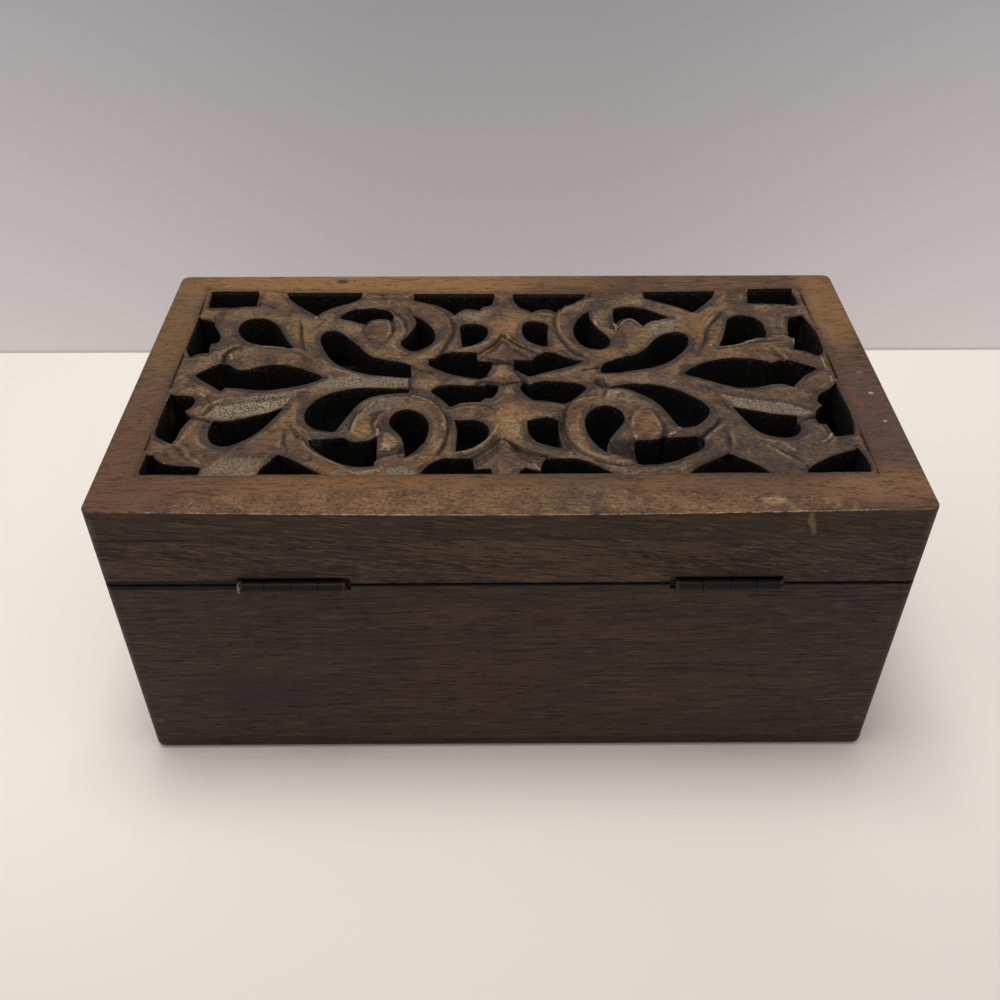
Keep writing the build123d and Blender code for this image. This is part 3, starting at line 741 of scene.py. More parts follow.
# Knife lines, and below them ridges: the width, how deep or high, and the line
cuts = [
    (0.7, 1.0, [(-93.5, 42.8), (-90.5, 41.2), (-87.5, 40.0)]),
    (0.6, 0.5, [(-91.0, 52.0), (-88.5, 48.5), (-89.5, 44.5), (-93.0, 43.0)]),
    (0.6, 0.6, [(-75.0, 27.0), (-79.5, 23.4), (-84.0, 19.0)]),
    (0.5, 0.5, [(-70.0, 36.0), (-65.0, 35.8), (-60.0, 35.0)]),
    (0.6, 0.6, [(-64.0, 35.0), (-63.4, 30.0), (-62.0, 26.0)]),
    (0.6, 0.7, [(-62.5, 37.0), (-60.0, 33.6), (-57.0, 31.0)]),
    (0.8, 1.1, [(-35.5, 22.0), (-32.0, 23.3), (-28.0, 25.5)]),
    (0.8, 0.9, [(-36.5, 37.0), (-34.8, 35.6), (-33.0, 35.0)]),
    (0.5, 0.5, [(-43.6, 33.0), (-41.8, 30.3), (-38.6, 32.4), (-37.0, 36.0)]),
    (0.6, 0.6, [(-6.0, 50.0), (-3.6, 48.6), (-1.0, 46.0)]),
    (0.8, 1.0, [(-0.5, 30.5), (-3.6, 26.4), (-8.2, 22.4)]),
    (0.7, 0.8, [(-0.5, 26.0), (-3.6, 21.6), (-8.0, 17.6)]),
    (0.8, 1.1, [(1.0, 30.5), (5.0, 27.0), (8.4, 24.4), (12.8, 22.6)]),
    (0.6, 0.7, [(2.8, 26.0), (6.0, 21.8), (10.4, 18.4)]),
    (0.6, 0.8, [(17.8, 40.0), (17.9, 33.0), (19.0, 28.0), (21.2, 23.4)]),
    (0.6, 0.9, [(-28.4, 63.0), (-28.3, 59.0), (-27.4, 56.4), (-24.0, 55.4)]),
    (0.6, 0.8, [(-28.2, 69.0), (-26.8, 66.8), (-24.0, 65.2), (-21.0, 64.4)]),
    (0.7, 0.8, [(31.8, 60.4), (32.2, 58.2), (34.4, 57.2)]),
    (0.6, 0.8, [(61.0, 58.0), (64.0, 55.2), (66.0, 52.0), (68.6, 47.4)]),
    (0.7, 0.9, [(64.4, 39.6), (61.2, 35.4), (58.0, 32.0)]),
    (0.5, 0.5, [(66.6, 35.4), (65.6, 30.6), (65.0, 25.4)]),
    (0.7, 0.8, [(77.0, 27.2), (81.0, 23.2), (85.2, 18.0)]),
    (0.6, 1.0, [(87.2, 39.0), (90.0, 40.2), (92.8, 41.6)]),
    (0.5, 0.6, [(91.4, 53.6), (94.0, 53.3), (96.2, 53.2)]),
    (0.6, 0.9, [(-84.5, 108.0), (-81.0, 105.6), (-77.0, 103.4)]),
    (0.5, 0.6, [(-59.5, 96.4), (-60.6, 94.0), (-61.6, 91.4)]),
    (0.7, 0.9, [(-83.0, 80.2), (-86.6, 79.6), (-89.2, 77.0), (-89.6, 73.0), (-88.6, 70.4)]),
    (0.6, 0.7, [(-95.4, 78.6), (-93.6, 78.6), (-92.2, 78.2)]),
    (0.5, 0.6, [(-97.6, 98.6), (-96.4, 95.6)]),
    (0.6, 0.7, [(-36.6, 97.0), (-35.6, 93.4), (-36.2, 89.6)]),
    (0.6, 0.6, [(-44.6, 95.4), (-45.6, 91.0), (-44.6, 86.0), (-42.0, 82.0)]),
    (0.6, 0.6, [(-39.6, 104.0), (-36.6, 102.6), (-34.4, 99.6)]),
    (0.8, 1.1, [(0.4, 86.4), (-1.6, 81.4), (-4.6, 77.8), (-7.6, 76.0)]),
    (0.7, 0.8, [(0.4, 82.6), (-2.4, 77.0), (-7.0, 72.6)]),
    (0.8, 1.1, [(0.6, 86.4), (4.6, 81.4), (8.6, 78.0), (12.0, 76.0)]),
    (0.7, 0.8, [(0.6, 82.6), (3.8, 78.0), (9.6, 72.6)]),
    (0.5, 0.8, [(30.0, 111.7), (33.6, 111.6), (37.6, 111.9)]),
    (0.5, 0.6, [(-47.0, 113.2), (-38.0, 112.4), (-30.4, 111.6)]),
    (0.6, 0.7, [(19.6, 77.0), (22.0, 74.4), (24.0, 72.2)]),
    (0.7, 1.0, [(26.0, 65.8), (28.6, 66.4), (31.4, 68.2)]),
    (0.5, 0.5, [(61.6, 97.0), (62.6, 95.0), (63.8, 93.2)]),
    (0.6, 0.8, [(86.8, 91.0), (89.6, 90.6), (92.6, 90.0)]),
    (0.6, 0.6, [(87.6, 86.6), (90.6, 86.4), (93.4, 86.4)]),
    (0.7, 0.8, [(86.6, 77.8), (88.6, 75.4), (89.6, 71.8)]),
    (0.5, 0.5, [(82.0, 76.0), (85.6, 76.4), (87.8, 73.0)]),
    (0.5, 0.6, [(94.2, 79.0), (91.6, 79.2), (89.4, 78.6)]),
    (1.6, 1.7, [(-7.4, 70.4), (-4.6, 70.8), (-1.0, 70.9), (3.4, 70.6)]),
    (0.8, 1.0, [(-7.4, 58.4), (-5.0, 59.6), (-1.4, 59.0), (1.2, 58.6), (3.6, 59.4), (7.4, 60.4)]),
    (0.6, 0.9, [(-4.4, 69.0), (-5.0, 66.0), (-4.0, 62.6)]),
    (0.6, 0.9, [(4.0, 68.4), (5.0, 65.6), (6.2, 62.4), (8.4, 60.0)]),
]
ridges = [
    (0.8, 0.45, [(-97.0, 29.0), (-93.0, 27.0), (-90.0, 22.4), (-86.0, 20.2)]),
    (0.7, 0.40, [(-20.0, 47.0), (-18.0, 42.0), (-17.2, 35.0), (-19.0, 28.4), (-24.6, 22.4), (-34.0, 19.2)]),
    (0.7, 0.35, [(-58.6, 31.0), (-55.4, 25.8), (-50.4, 21.6), (-44.0, 18.4)]),
    (0.6, 0.40, [(-36.0, 20.6), (-28.0, 24.2), (-23.2, 28.2)]),
    (0.8, 0.40, [(-13.0, 24.0), (-8.0, 27.0), (-3.4, 31.0), (-1.2, 36.0)]),
    (0.6, 0.45, [(1.6, 28.6), (5.0, 24.6), (10.4, 20.4)]),
    (0.7, 0.40, [(22.6, 50.0), (20.6, 45.0), (19.6, 40.0), (19.8, 34.0), (21.4, 27.6), (25.6, 21.0)]),
    (0.6, 0.35, [(37.6, 40.0), (37.8, 35.0), (38.8, 31.2)]),
    (0.6, 0.45, [(52.4, 36.6), (51.0, 34.0), (48.6, 31.8)]),
    (0.6, 0.40, [(64.0, 54.2), (66.6, 51.0), (69.0, 47.6)]),
    (0.6, 0.40, [(64.0, 37.6), (61.6, 34.4), (59.2, 31.4)]),
    (0.6, 0.40, [(75.8, 27.0), (80.0, 22.6), (84.2, 18.4)]),
    (0.6, 0.40, [(79.0, 29.0), (81.0, 27.2), (83.0, 25.0)]),
    (0.7, 0.45, [(95.4, 33.4), (94.2, 30.6), (91.4, 28.4)]),
    (0.8, 0.45, [(-66.6, 95.6), (-65.2, 90.0), (-64.4, 83.6), (-62.6, 76.6)]),
    (0.9, 0.50, [(-80.0, 80.6), (-72.0, 79.0), (-64.6, 75.6), (-58.6, 71.0)]),
    (0.9, 0.55, [(-22.4, 102.0), (-18.2, 97.0), (-16.6, 90.6), (-17.8, 83.6), (-20.4, 77.0)]),
    (0.7, 0.35, [(-46.0, 107.4), (-36.0, 107.2), (-28.0, 105.4), (-22.4, 102.0)]),
    (0.8, 0.45, [(-36.6, 74.4), (-30.0, 72.6), (-24.0, 73.4)]),
    (0.7, 0.45, [(-15.6, 76.8), (-11.0, 78.8), (-6.2, 81.0), (-2.4, 85.6)]),
    (0.8, 0.45, [(20.2, 104.0), (18.9, 96.0), (18.9, 90.0), (20.6, 84.6), (22.8, 79.4), (26.4, 75.6)]),
    (0.6, 0.45, [(1.8, 83.0), (5.0, 78.4), (9.4, 73.6)]),
    (0.7, 0.45, [(3.6, 83.6), (8.0, 79.6), (13.4, 77.6)]),
    (0.6, 0.40, [(31.2, 96.0), (32.4, 92.0), (35.0, 86.6)]),
    (0.8, 0.45, [(73.0, 99.6), (68.4, 96.0), (66.6, 90.0), (65.0, 83.6), (62.6, 77.6)]),
    (0.7, 0.40, [(66.0, 78.8), (69.8, 80.4)]),
    (0.8, 0.40, [(80.0, 83.0), (88.0, 83.6), (94.4, 82.6)]),
]
# Edges where the carving steps down, each to the right of its line: how far, over what width, and the line
folds = [
    (0.5, 3.0, [(-90.8, 43.0), (-88.8, 48.4), (-84.0, 50.6), (-76.0, 51.2), (-68.0, 52.6), (-62.4, 53.8)]),
    (0.5, 4.0, [(-70.6, 34.4), (-68.0, 35.6), (-64.4, 35.8)]),
    (0.5, 3.0, [(-63.8, 25.6), (-64.2, 31.0), (-64.6, 36.0)]),
    (0.4, 2.5, [(-75.6, 27.4), (-79.6, 24.0), (-84.6, 19.0)]),
    (0.5, 2.0, [(-99.0, 32.2), (-95.4, 29.4), (-91.6, 25.0), (-89.6, 22.0)]),
    (0.6, 2.0, [(-61.6, 36.0), (-58.0, 31.6), (-52.8, 28.4)]),
    (0.9, 2.6, [(-20.0, 21.5), (-17.6, 27.5), (-16.2, 34.0), (-16.4, 40.0), (-18.4, 45.6), (-22.0, 50.2),
                (-27.0, 52.3), (-33.0, 52.1), (-38.0, 49.4), (-41.8, 45.0), (-44.2, 39.0), (-44.2, 33.5)]),
    (0.5, 1.5, [(-34.6, 44.6), (-36.8, 41.6), (-37.6, 37.6), (-36.2, 34.2)]),
    (0.7, 1.8, [(-36.0, 25.4), (-32.0, 27.0), (-28.4, 29.4)]),
    (0.6, 2.0, [(-13.6, 48.0), (-10.0, 49.8), (-5.6, 49.2), (-2.0, 46.6), (0.4, 44.6)]),
    (0.6, 2.2, [(-14.4, 23.4), (-8.6, 24.8), (-4.0, 29.0), (-1.2, 34.4)]),
    (0.9, 2.4, [(31.0, 51.8), (24.6, 50.6), (20.8, 47.0), (19.4, 41.0), (19.4, 34.0), (21.0, 28.6),
                (25.0, 23.6), (31.4, 20.0), (38.0, 18.6)]),
    (0.6, 2.0, [(34.4, 56.6), (32.4, 53.6), (31.8, 49.6)]),
    (0.6, 1.8, [(40.6, 44.0), (38.4, 40.0), (38.2, 35.0), (39.8, 30.6)]),
    (0.6, 2.0, [(44.0, 30.4), (46.6, 34.2), (46.4, 39.6), (44.2, 44.6)]),
    (0.5, 2.0, [(3.0, 29.6), (6.4, 25.4), (11.6, 21.6)]),
    (0.5, 2.5, [(92.0, 43.2), (86.4, 47.6), (78.0, 49.6), (70.6, 51.8), (65.6, 53.6)]),
    (0.5, 2.2, [(65.6, 52.6), (67.6, 48.4), (70.0, 44.8)]),
    (0.5, 2.5, [(84.6, 18.6), (80.6, 22.6), (76.6, 26.6)]),
    (0.5, 2.5, [(65.8, 36.0), (66.2, 31.0), (66.0, 25.6)]),
    (0.6, 2.0, [(66.0, 39.0), (62.0, 34.6), (57.6, 29.6)]),
    (0.5, 1.8, [(96.0, 33.4), (94.4, 29.4), (91.8, 27.6)]),
    (0.9, 2.6, [(-20.6, 74.4), (-18.6, 80.0), (-16.6, 86.0), (-16.0, 90.5), (-17.2, 96.0), (-19.6, 101.0),
                (-24.0, 105.0), (-30.0, 107.6), (-37.0, 108.6), (-45.0, 108.2)]),
    (0.6, 1.6, [(-37.6, 83.6), (-36.2, 88.0), (-36.4, 92.0), (-38.2, 97.0)]),
    (0.5, 1.8, [(-33.0, 84.0), (-31.6, 89.0), (-32.8, 95.0), (-36.0, 100.2)]),
    (0.6, 2.2, [(-2.6, 86.4), (-6.0, 81.6), (-10.6, 78.8), (-15.8, 76.8)]),
    (0.9, 2.4, [(27.0, 107.6), (22.0, 104.2), (19.6, 99.0), (19.0, 93.0), (19.8, 87.0), (21.8, 81.5),
                (24.6, 76.4), (28.6, 73.0)]),
    (0.6, 1.6, [(47.8, 91.6), (46.0, 96.0), (43.4, 97.8), (40.8, 96.0), (39.4, 91.6)]),
    (0.5, 1.8, [(37.8, 100.0), (38.2, 95.0), (38.8, 90.6)]),
    (0.6, 2.2, [(14.8, 76.4), (9.6, 78.6), (5.4, 82.0), (2.4, 86.8)]),
    (0.7, 2.2, [(-66.6, 96.0), (-65.4, 88.0), (-63.8, 80.6), (-61.6, 75.0)]),
    (0.6, 2.4, [(-90.0, 70.4), (-90.4, 75.6), (-87.6, 79.4), (-82.4, 80.4)]),
    (0.7, 2.4, [(-80.0, 81.0), (-72.0, 79.4), (-65.0, 76.4), (-60.4, 72.6)]),
    (0.7, 2.2, [(63.0, 76.4), (65.6, 82.6), (67.6, 90.0), (71.6, 97.0), (74.6, 101.4)]),
    (0.6, 2.4, [(68.0, 79.0), (76.0, 80.6), (85.0, 83.0), (94.0, 83.4)]),
    (0.6, 2.2, [(84.6, 77.6), (88.0, 76.0), (89.8, 72.6), (89.4, 70.0)]),
]
# Steep hollows that fall away into the openings, darkened with painted shade
hollows = [
    (2.2, [(31.6, 30.0), (37.6, 30.4), (39.4, 28.0), (39.0, 22.0), (36.0, 21.6), (31.4, 24.0)]),
    (1.8, [(-36.6, 22.0), (-36.2, 24.4), (-31.0, 26.0), (-27.6, 28.0), (-27.8, 25.2), (-31.0, 23.2)]),
    (1.4, [(2.0, 29.6), (5.4, 25.8), (10.6, 22.6), (10.4, 20.6), (6.4, 22.6), (3.0, 26.0)]),
    (1.2, [(-0.6, 29.0), (-4.0, 24.6), (-8.6, 21.4), (-8.8, 19.6), (-4.2, 22.0), (-0.8, 26.0)]),
]
# Light nicks and rubbed spots that have lost their stain
nicks = [
    (0.5, [(-103.3, 56.4), (-102.9, 55.2)]),
    (0.5, [(-103.4, 46.4), (-102.8, 45.8)]),
    (0.7, [(-93.0, 53.6), (-91.6, 52.6)]),
    (0.5, [(-36.6, 35.6), (-36.2, 33.8)]),
    (0.7, [(-34.6, 28.6), (-32.4, 26.8)]),
    (0.4, [(-97.6, 19.6), (-96.4, 20.4)]),
    (0.5, [(88.2, 57.0), (89.4, 55.2)]),
    (0.4, [(94.8, 32.4), (94.0, 30.6)]),
    (0.5, [(38.2, 94.6), (38.8, 91.8)]),
    (0.6, [(31.6, 95.2), (32.0, 92.6)]),
    (0.5, [(38.4, 33.6), (39.0, 31.0)]),
    (0.5, [(52.2, 36.0), (50.6, 33.6), (48.8, 32.2)]),
    (0.5, [(66.2, 79.2), (69.4, 80.2)]),
    (0.5, [(95.4, 85.0), (94.8, 82.0)]),
    (0.3, [(101.6, 62.0), (101.4, 58.8)]),
    (0.25, [(101.2, 73.4), (101.4, 66.6)]),
    (0.5, [(-87.6, 75.6), (-86.8, 73.0)]),
    (0.5, [(-62.6, 99.0), (-62.4, 97.6)]),
    (0.5, [(65.0, 100.8), (65.0, 99.4)]),
    (0.6, [(9.2, 19.0), (10.6, 17.4)]),
]
# Ground beaten with a punch, lower than the ribs and paler
punchedGround = [
    (1.0, [(-88.0, 50.0), (-85.5, 50.5), (-72.0, 52.5), (-63.0, 53.5), (-66.0, 48.0), (-70.0, 45.0),
           (-76.0, 42.5), (-84.0, 41.0), (-90.0, 43.0)]),
    (0.8, [(-59.0, 58.4), (-52.0, 62.4), (-44.0, 64.0), (-36.0, 63.0), (-28.8, 62.8), (-28.8, 57.4),
           (-37.0, 57.6), (-47.0, 57.2), (-53.0, 56.4)]),
    (0.75, [(66.0, 53.0), (72.0, 52.4), (79.0, 50.4), (87.0, 48.0), (92.2, 43.4), (90.0, 41.6), (79.5, 43.4),
           (73.0, 45.4), (69.4, 47.4)]),
    (0.5, [(-84.6, 18.0), (-79.4, 22.6), (-72.0, 22.4), (-69.0, 17.6), (-69.4, 14.4), (-85.4, 14.4)]),
    (0.6, [(-31.6, 17.6), (-25.6, 18.6), (-23.6, 14.4), (-32.6, 14.4)]),
    (0.45, [(-41.6, 50.2), (-37.0, 53.0), (-30.0, 52.4), (-28.0, 47.6), (-33.0, 46.4), (-38.6, 44.0),
            (-41.8, 40.0), (-43.4, 44.0)]),
    (0.4, [(43.0, 62.4), (56.0, 60.0), (52.0, 58.0), (44.0, 59.0), (36.0, 59.6), (36.0, 62.0)]),
]
# Smooth places painted pale, cream or grey
paleSmoothZones = [
    (0.9, [(33.0, 56.0), (37.4, 55.4), (40.6, 51.0), (39.0, 47.4), (35.6, 49.0), (32.6, 51.4)]),
    (0.8, [(48.4, 92.0), (50.4, 95.6), (54.6, 97.4), (59.0, 95.0), (59.8, 91.0), (56.0, 88.4), (51.4, 86.6)]),
    (0.5, [(-54.6, 97.0), (-49.0, 95.6), (-46.0, 92.6), (-47.4, 88.4), (-51.0, 89.0), (-55.6, 91.6)]),
    (0.6, [(-9.0, 101.6), (-5.0, 103.0), (-3.4, 99.0), (-7.0, 95.4), (-12.6, 96.6), (-13.8, 100.4)]),
    (0.5, [(40.0, 107.6), (47.0, 108.6), (50.0, 106.4), (44.0, 105.8), (39.6, 105.4)]),
    (0.6, [(-48.0, 16.6), (-38.0, 15.4), (-30.4, 15.2), (-30.4, 16.8), (-38.0, 17.2), (-47.0, 18.2)]),
    (0.6, [(29.0, 19.4), (34.6, 17.0), (46.0, 15.4), (34.0, 15.2), (30.6, 16.8)]),
    (0.5, [(-27.6, 61.4), (-24.4, 61.0), (-21.6, 58.4), (-22.6, 55.4), (-26.4, 56.6)]),
    (0.7, [(3.0, 40.6), (5.4, 40.4), (5.6, 34.6), (2.6, 33.0), (0.4, 35.0)]),
]


def easeShare(share):
    return share * share * (3 - 2 * share)


def eased(value, low, high):
    return easeShare(np.clip((value - low) / (high - low), 0, 1))


def hump(value):  # 1 at zero, and close to 0 beyond 2 either way
    return np.exp(-value ** 2)


def randomLattice(x, y, size, seed):  # smooth noise, about -1 to 1, with lumps of this size
    cells = lattice["cells"]
    values = np.random.default_rng(seed).uniform(-1, 1, (cells, cells))
    gridX = x / size + lattice["shiftX"]
    gridY = y / size + lattice["shiftY"]
    column = np.floor(gridX).astype(int)
    row = np.floor(gridY).astype(int)
    easeX = easeShare(gridX - column)
    easeY = easeShare(gridY - row)

    def between(line):
        return values[line, column % cells] * (1 - easeX) + values[line, (column + 1) % cells] * easeX

    return between(row % cells) * (1 - easeY) + between((row + 1) % cells) * easeY


def smoothLine(points, steps=5):
    ends = [points[0]] + list(points) + [points[-1]]
    line = []
    for before, start, end, after in zip(ends, ends[1:], ends[2:], ends[3:]):
        for step in range(steps):
            t = step / steps
            line.append(tuple(
                0.5 * (2 * b + (c - a) * t + (2 * a - 5 * b + 4 * c - d) * t * t
                       + (3 * b - a - 3 * c + d) * t * t * t)
                for a, b, c, d in zip(before, start, end, after)
            ))
    line.append(tuple(points[-1]))
    return line


# Distance from each point to a line, worked out only near it
def lineDistance(x, y, line, reach):
    lineX = [point[0] for point in line]
    lineY = [point[1] for point in line]
    found = np.full(x.shape, farOff)
    close = ((x > min(lineX) - reach) & (x < max(lineX) + reach)
             & (y > min(lineY) - reach) & (y < max(lineY) + reach))
    nearX = x[close]
    nearY = y[close]
    best = np.full(nearX.shape, farOff)
    for (startX, startY), (endX, endY) in zip(line, line[1:]):
        stepX = endX - startX
        stepY = endY - startY
        share = ((nearX - startX) * stepX + (nearY - startY) * stepY) / (stepX ** 2 + stepY ** 2 + tiny)
        share = np.clip(share, 0, 1)
        best = np.minimum(best, np.hypot(nearX - startX - share * stepX, nearY - startY - share * stepY))
    found[close] = best
    return found


# Distance to a line, more than zero to the right of it, and a share that fades toward its two ends
def foldPlace(x, y, points, reach):
    line = [fromPlan(point) for point in smoothLine(points)]
    distance = lineDistance(x, y, line, reach)
    close = distance < reach
    nearX = x[close]
    nearY = y[close]
    best = np.full(nearX.shape, farOff)
    side = np.ones(nearX.shape)
    for (startX, startY), (endX, endY) in zip(line, line[1:]):
        away = np.hypot(nearX - (startX + endX) / 2, nearY - (startY + endY) / 2)
        turn = (endX - startX) * (nearY - startY) - (endY - startY) * (nearX - startX)
        side = np.where(away < best, np.where(turn > 0, -1.0, 1.0), side)
        best = np.minimum(best, away)
    signed = np.full(x.shape, -farOff)
    signed[close] = distance[close] * side
    toEnds = np.minimum(np.hypot(x - line[0][0], y - line[0][1]), np.hypot(x - line[-1][0], y - line[-1][1]))
    return signed, eased(toEnds, 0, carving["foldTaper"])


def blurred(grid, reach):
    for axis in (0, 1):
        total = np.zeros(grid.shape)
        for step in range(-reach, reach + 1):
            total += np.roll(grid, step, axis)
        grid = total / (2 * reach + 1)
    return grid


def insideShape(x, y, shape):
    inside = np.zeros(x.shape, bool)
    for (startX, startY), (endX, endY) in zip(shape, shape[1:] + shape[:1]):
        crosses = (startY > y) != (endY > y)
        span = endY - startY if abs(endY - startY) > tiny else tiny
        inside ^= crosses & (x < startX + (endX - startX) * (y - startY) / span)
    return inside


# How far inside a shape each point is, eased over the border
def softShape(x, y, points, border):
    shape = [fromPlan(point) for point in points]
    distance = lineDistance(x, y, shape + shape[:1], border * 2)
    signed = np.where(insideShape(x, y, shape), distance, -distance)
    return eased(signed, -border, border)


def strokeShare(x, y, points, width):
    line = [fromPlan(point) for point in smoothLine(points)]
    return np.clip(1 - lineDistance(x, y, line, width) / width, 0, 1)


def mergedCopy(node):
    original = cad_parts[node]
    copy = original.copy()
    copy.data = original.data.copy()
    for key in list(copy.keys()):
        del copy[key]
    copy.parent = None
    bpy.context.scene.collection.objects.link(copy)
    selectOnly(copy)
    bpy.ops.object.mode_set(mode="EDIT")
    bpy.ops.mesh.select_all(action="SELECT")
    bpy.ops.mesh.remove_doubles(threshold=2e-6)
    bpy.ops.mesh.normals_make_consistent(inside=False)
    bpy.ops.object.mode_set(mode="OBJECT")
    return copy


def meshPoints(piece):
    points = np.zeros(len(piece.data.vertices) * 3)
    piece.data.vertices.foreach_get("co", points)
    return points.reshape(-1, 3) / mm


# Points along the rim of every opening, with the way into the opening beside each
def openingRims(blank):
    points = meshPoints(blank)
    faces = {}
    for polygon in blank.data.polygons:
        for key in polygon.edge_keys:
            faces.setdefault(key, []).append(polygon.normal.copy())
    endX = fieldEnd + abs(fieldOffset) + 1
    places = []
    inward = []
    for (first, second), normals in faces.items():
        start = points[first]
        end = points[second]
        offLevel = max(abs(start[2] - lidUnder), abs(end[2] - lidUnder))
        if offLevel > carving["rimLevel"] or len(normals) != 2:
            continue
        walls = [normal for normal in normals if abs(normal.z) < carving["rimSlope"]]
        if len(walls) != 1 or abs(start[0]) > endX or abs(end[0]) > endX:
            continue
        count = max(1, math.ceil(np.hypot(*(end - start)[:2]) / carving["rimSpacing"]))
        for number in range(count):
            places.append(start + (end - start) * (number + 0.5) / count)
            inward.append((walls[0].x, walls[0].y))
    return np.array(places), np.array(inward)


def borderShare(y):  # the line round the carved ground is faint along its front edge
    least = carving["borderAtFront"]
    start, end = carving["borderFade"]
    return least + (1 - least) * eased(y, fieldFront + start, fieldFront + end)


def carvedField():  # half the carved ground's length, and its two long edges, a little past the openings
    margin = carving["fieldMargin"]
    return fieldEnd + margin, fieldHinge + margin, fieldFront - margin


def searchTree(places):  # finds the nearest of these places, by x and y alone
    tree = kdtree.KDTree(len(places))
    for index, place in enumerate(places):
        tree.insert((place[0], place[1], 0), index)
    tree.balance()
    return tree


class Relief:
    def __init__(self, blank):
        self.rims, self.inward = openingRims(blank)
        self.tree = searchTree(self.rims)
        rng = np.random.default_rng(carving["facetSeed"])
        size = carving["facetSize"]
        jitter = carving["facetJitter"]
        seeds = [[number * size + rng.uniform(-jitter, jitter) * size for number in (column, row)]
                 for column in range(*carving["facetColumns"]) for row in range(*carving["facetRows"])]
        self.tilts = rng.uniform(-1, 1, (len(seeds), 2)) * carving["facetTilt"]
        self.steps = rng.uniform(-1, 1, len(seeds)) * carving["facetStep"]
        self.seedTree = searchTree(seeds)

    # Distance to the nearest opening, less than zero inside one, and how far the way to it turns from the
    # hinges, from 0 toward them to 1 away from them
    def toOpening(self, x, y):
        distance = np.empty(len(x))
        turned = np.empty(len(x))
        for number, (pointX, pointY) in enumerate(zip(x, y)):
            place, index, gap = self.tree.find((pointX, pointY, 0))
            way = self.inward[index]
            inside = (pointX - place.x) * way[0] + (pointY - place.y) * way[1] > 0
            distance[number] = -gap if inside else gap
            turned[number] = 0.5 - 0.5 * way[1]
        return distance, turned

    def onRim(self, x, y):
        return self.tree.find((x, y, 0))[2] < carving["rimTouch"]

    def facets(self, x, y):
        height = np.empty(len(x))
        for number, (pointX, pointY) in enumerate(zip(x, y)):
            place, index = self.seedTree.find((pointX, pointY, 0))[:2]
            tilt = self.tilts[index]
            height[number] = self.steps[index] + (pointX - place.x) * tilt[0] + (pointY - place.y) * tilt[1]
        return height

    def ribWidths(self, distance, columns, rows):  # half the width of the rib that each grid point is on
        grid = distance.reshape(rows, columns)
        reach = round(carving["ribReach"] / carving["cell"])
        for axis in (0, 1):
            widest = grid.copy()
            for step in range(-reach, reach + 1):
                widest = np.maximum(widest, np.roll(grid, step, axis))
            grid = widest
        return np.clip(blurred(grid, reach), *carving["ribLimits"]).ravel()

    def bevelWidth(self, x, y, rib, turned):
        spread = carving["bevelSpread"] * (0.5 + 0.5 * randomLattice(x, y, *noises["bevel"]))
        least, byTurn = carving["bevelTurn"]
        width = np.minimum(carving["bevelNarrow"] + spread, carving["bevelShare"] * rib)
        return width * (least + byTurn * turned)

    def toBorder(self, x, y):  # less than zero in front of the carved ground's bowed front edge
        endX, hingeY, frontY = carvedField()
        bow = carving["frontBow"] * (1 - ((x - fieldOffset) / fieldEnd) ** 2)
        toLong = np.minimum(hingeY - y, y - np.maximum(fieldFront + bow, frontY))
        return np.minimum(endX - abs(x - fieldOffset), toLong)

    def height(self, x, y, distance, rib, turned):  # height of the carved surface over the frame's top
        bevel = self.bevelWidth(x, y, rib, turned)
        share = np.clip(distance / rib, 0, 1)
        crown = np.minimum(carving["crown"], carving["crownOfRib"] * rib)
        crown = crown * (1 - share) ** carving["crownCurve"]
        slant = carving["bevelSlope"] * np.maximum(0, bevel - distance)
        flat = eased(distance, *carving["bevelSide"])
        atEdge = carving["facetAtEdge"]
        swelling = randomLattice(x, y, *noises["swell"]) - carving["swellLevel"]
        height = -carving["sink"] - crown - slant
        height += self.facets(x, y) * (atEdge + (1 - atEdge) * flat)
        height += swelling * carving["swell"] * flat
        height += randomLattice(x, y, *noises["tool"]) * carving["toolMarks"]
        for width, depth, points in cuts:
            height -= depth * strokeShare(x, y, points, width)
        for width, rise, points in ridges:
            height += rise * easeShare(strokeShare(x, y, points, width * carving["ridgeFoot"]))
        edge = carving["foldEdge"]
        for drop, reach, points in folds:
            signed, share = foldPlace(x, y, points, reach)
            low = eased(signed, -edge, edge) * (1 - eased(signed, edge, reach))
            lip = eased(signed, -carving["lipWidth"], -edge) * (1 - eased(signed, -edge, edge))
            height += (carving["foldLip"] * lip - low) * drop * share
        for depth, points in hollows:
            height -= depth * softShape(x, y, points, carving["hollowEdge"])
        for strength, points in punchedGround:
            height -= carving["groundDepth"] * strength * softShape(x, y, points, carving["groundEdge"])
        toBorder = self.toBorder(x, y)
        border = carving["borderDepth"] * borderShare(y)
        height -= border * (1 - eased(toBorder, *carving["borderEdge"]))
        level = (1 - eased(toBorder, *carving["levelEdge"])) * (1 - eased(distance, *carving["levelSide"]))
        least = carving["leastDepth"]
        carved = np.minimum(height, -least) * (1 - level) - least * level
        flush = carving["flushDepth"]
        return -flush + (carved + flush) * eased(toBorder, *carving["flushEdge"])

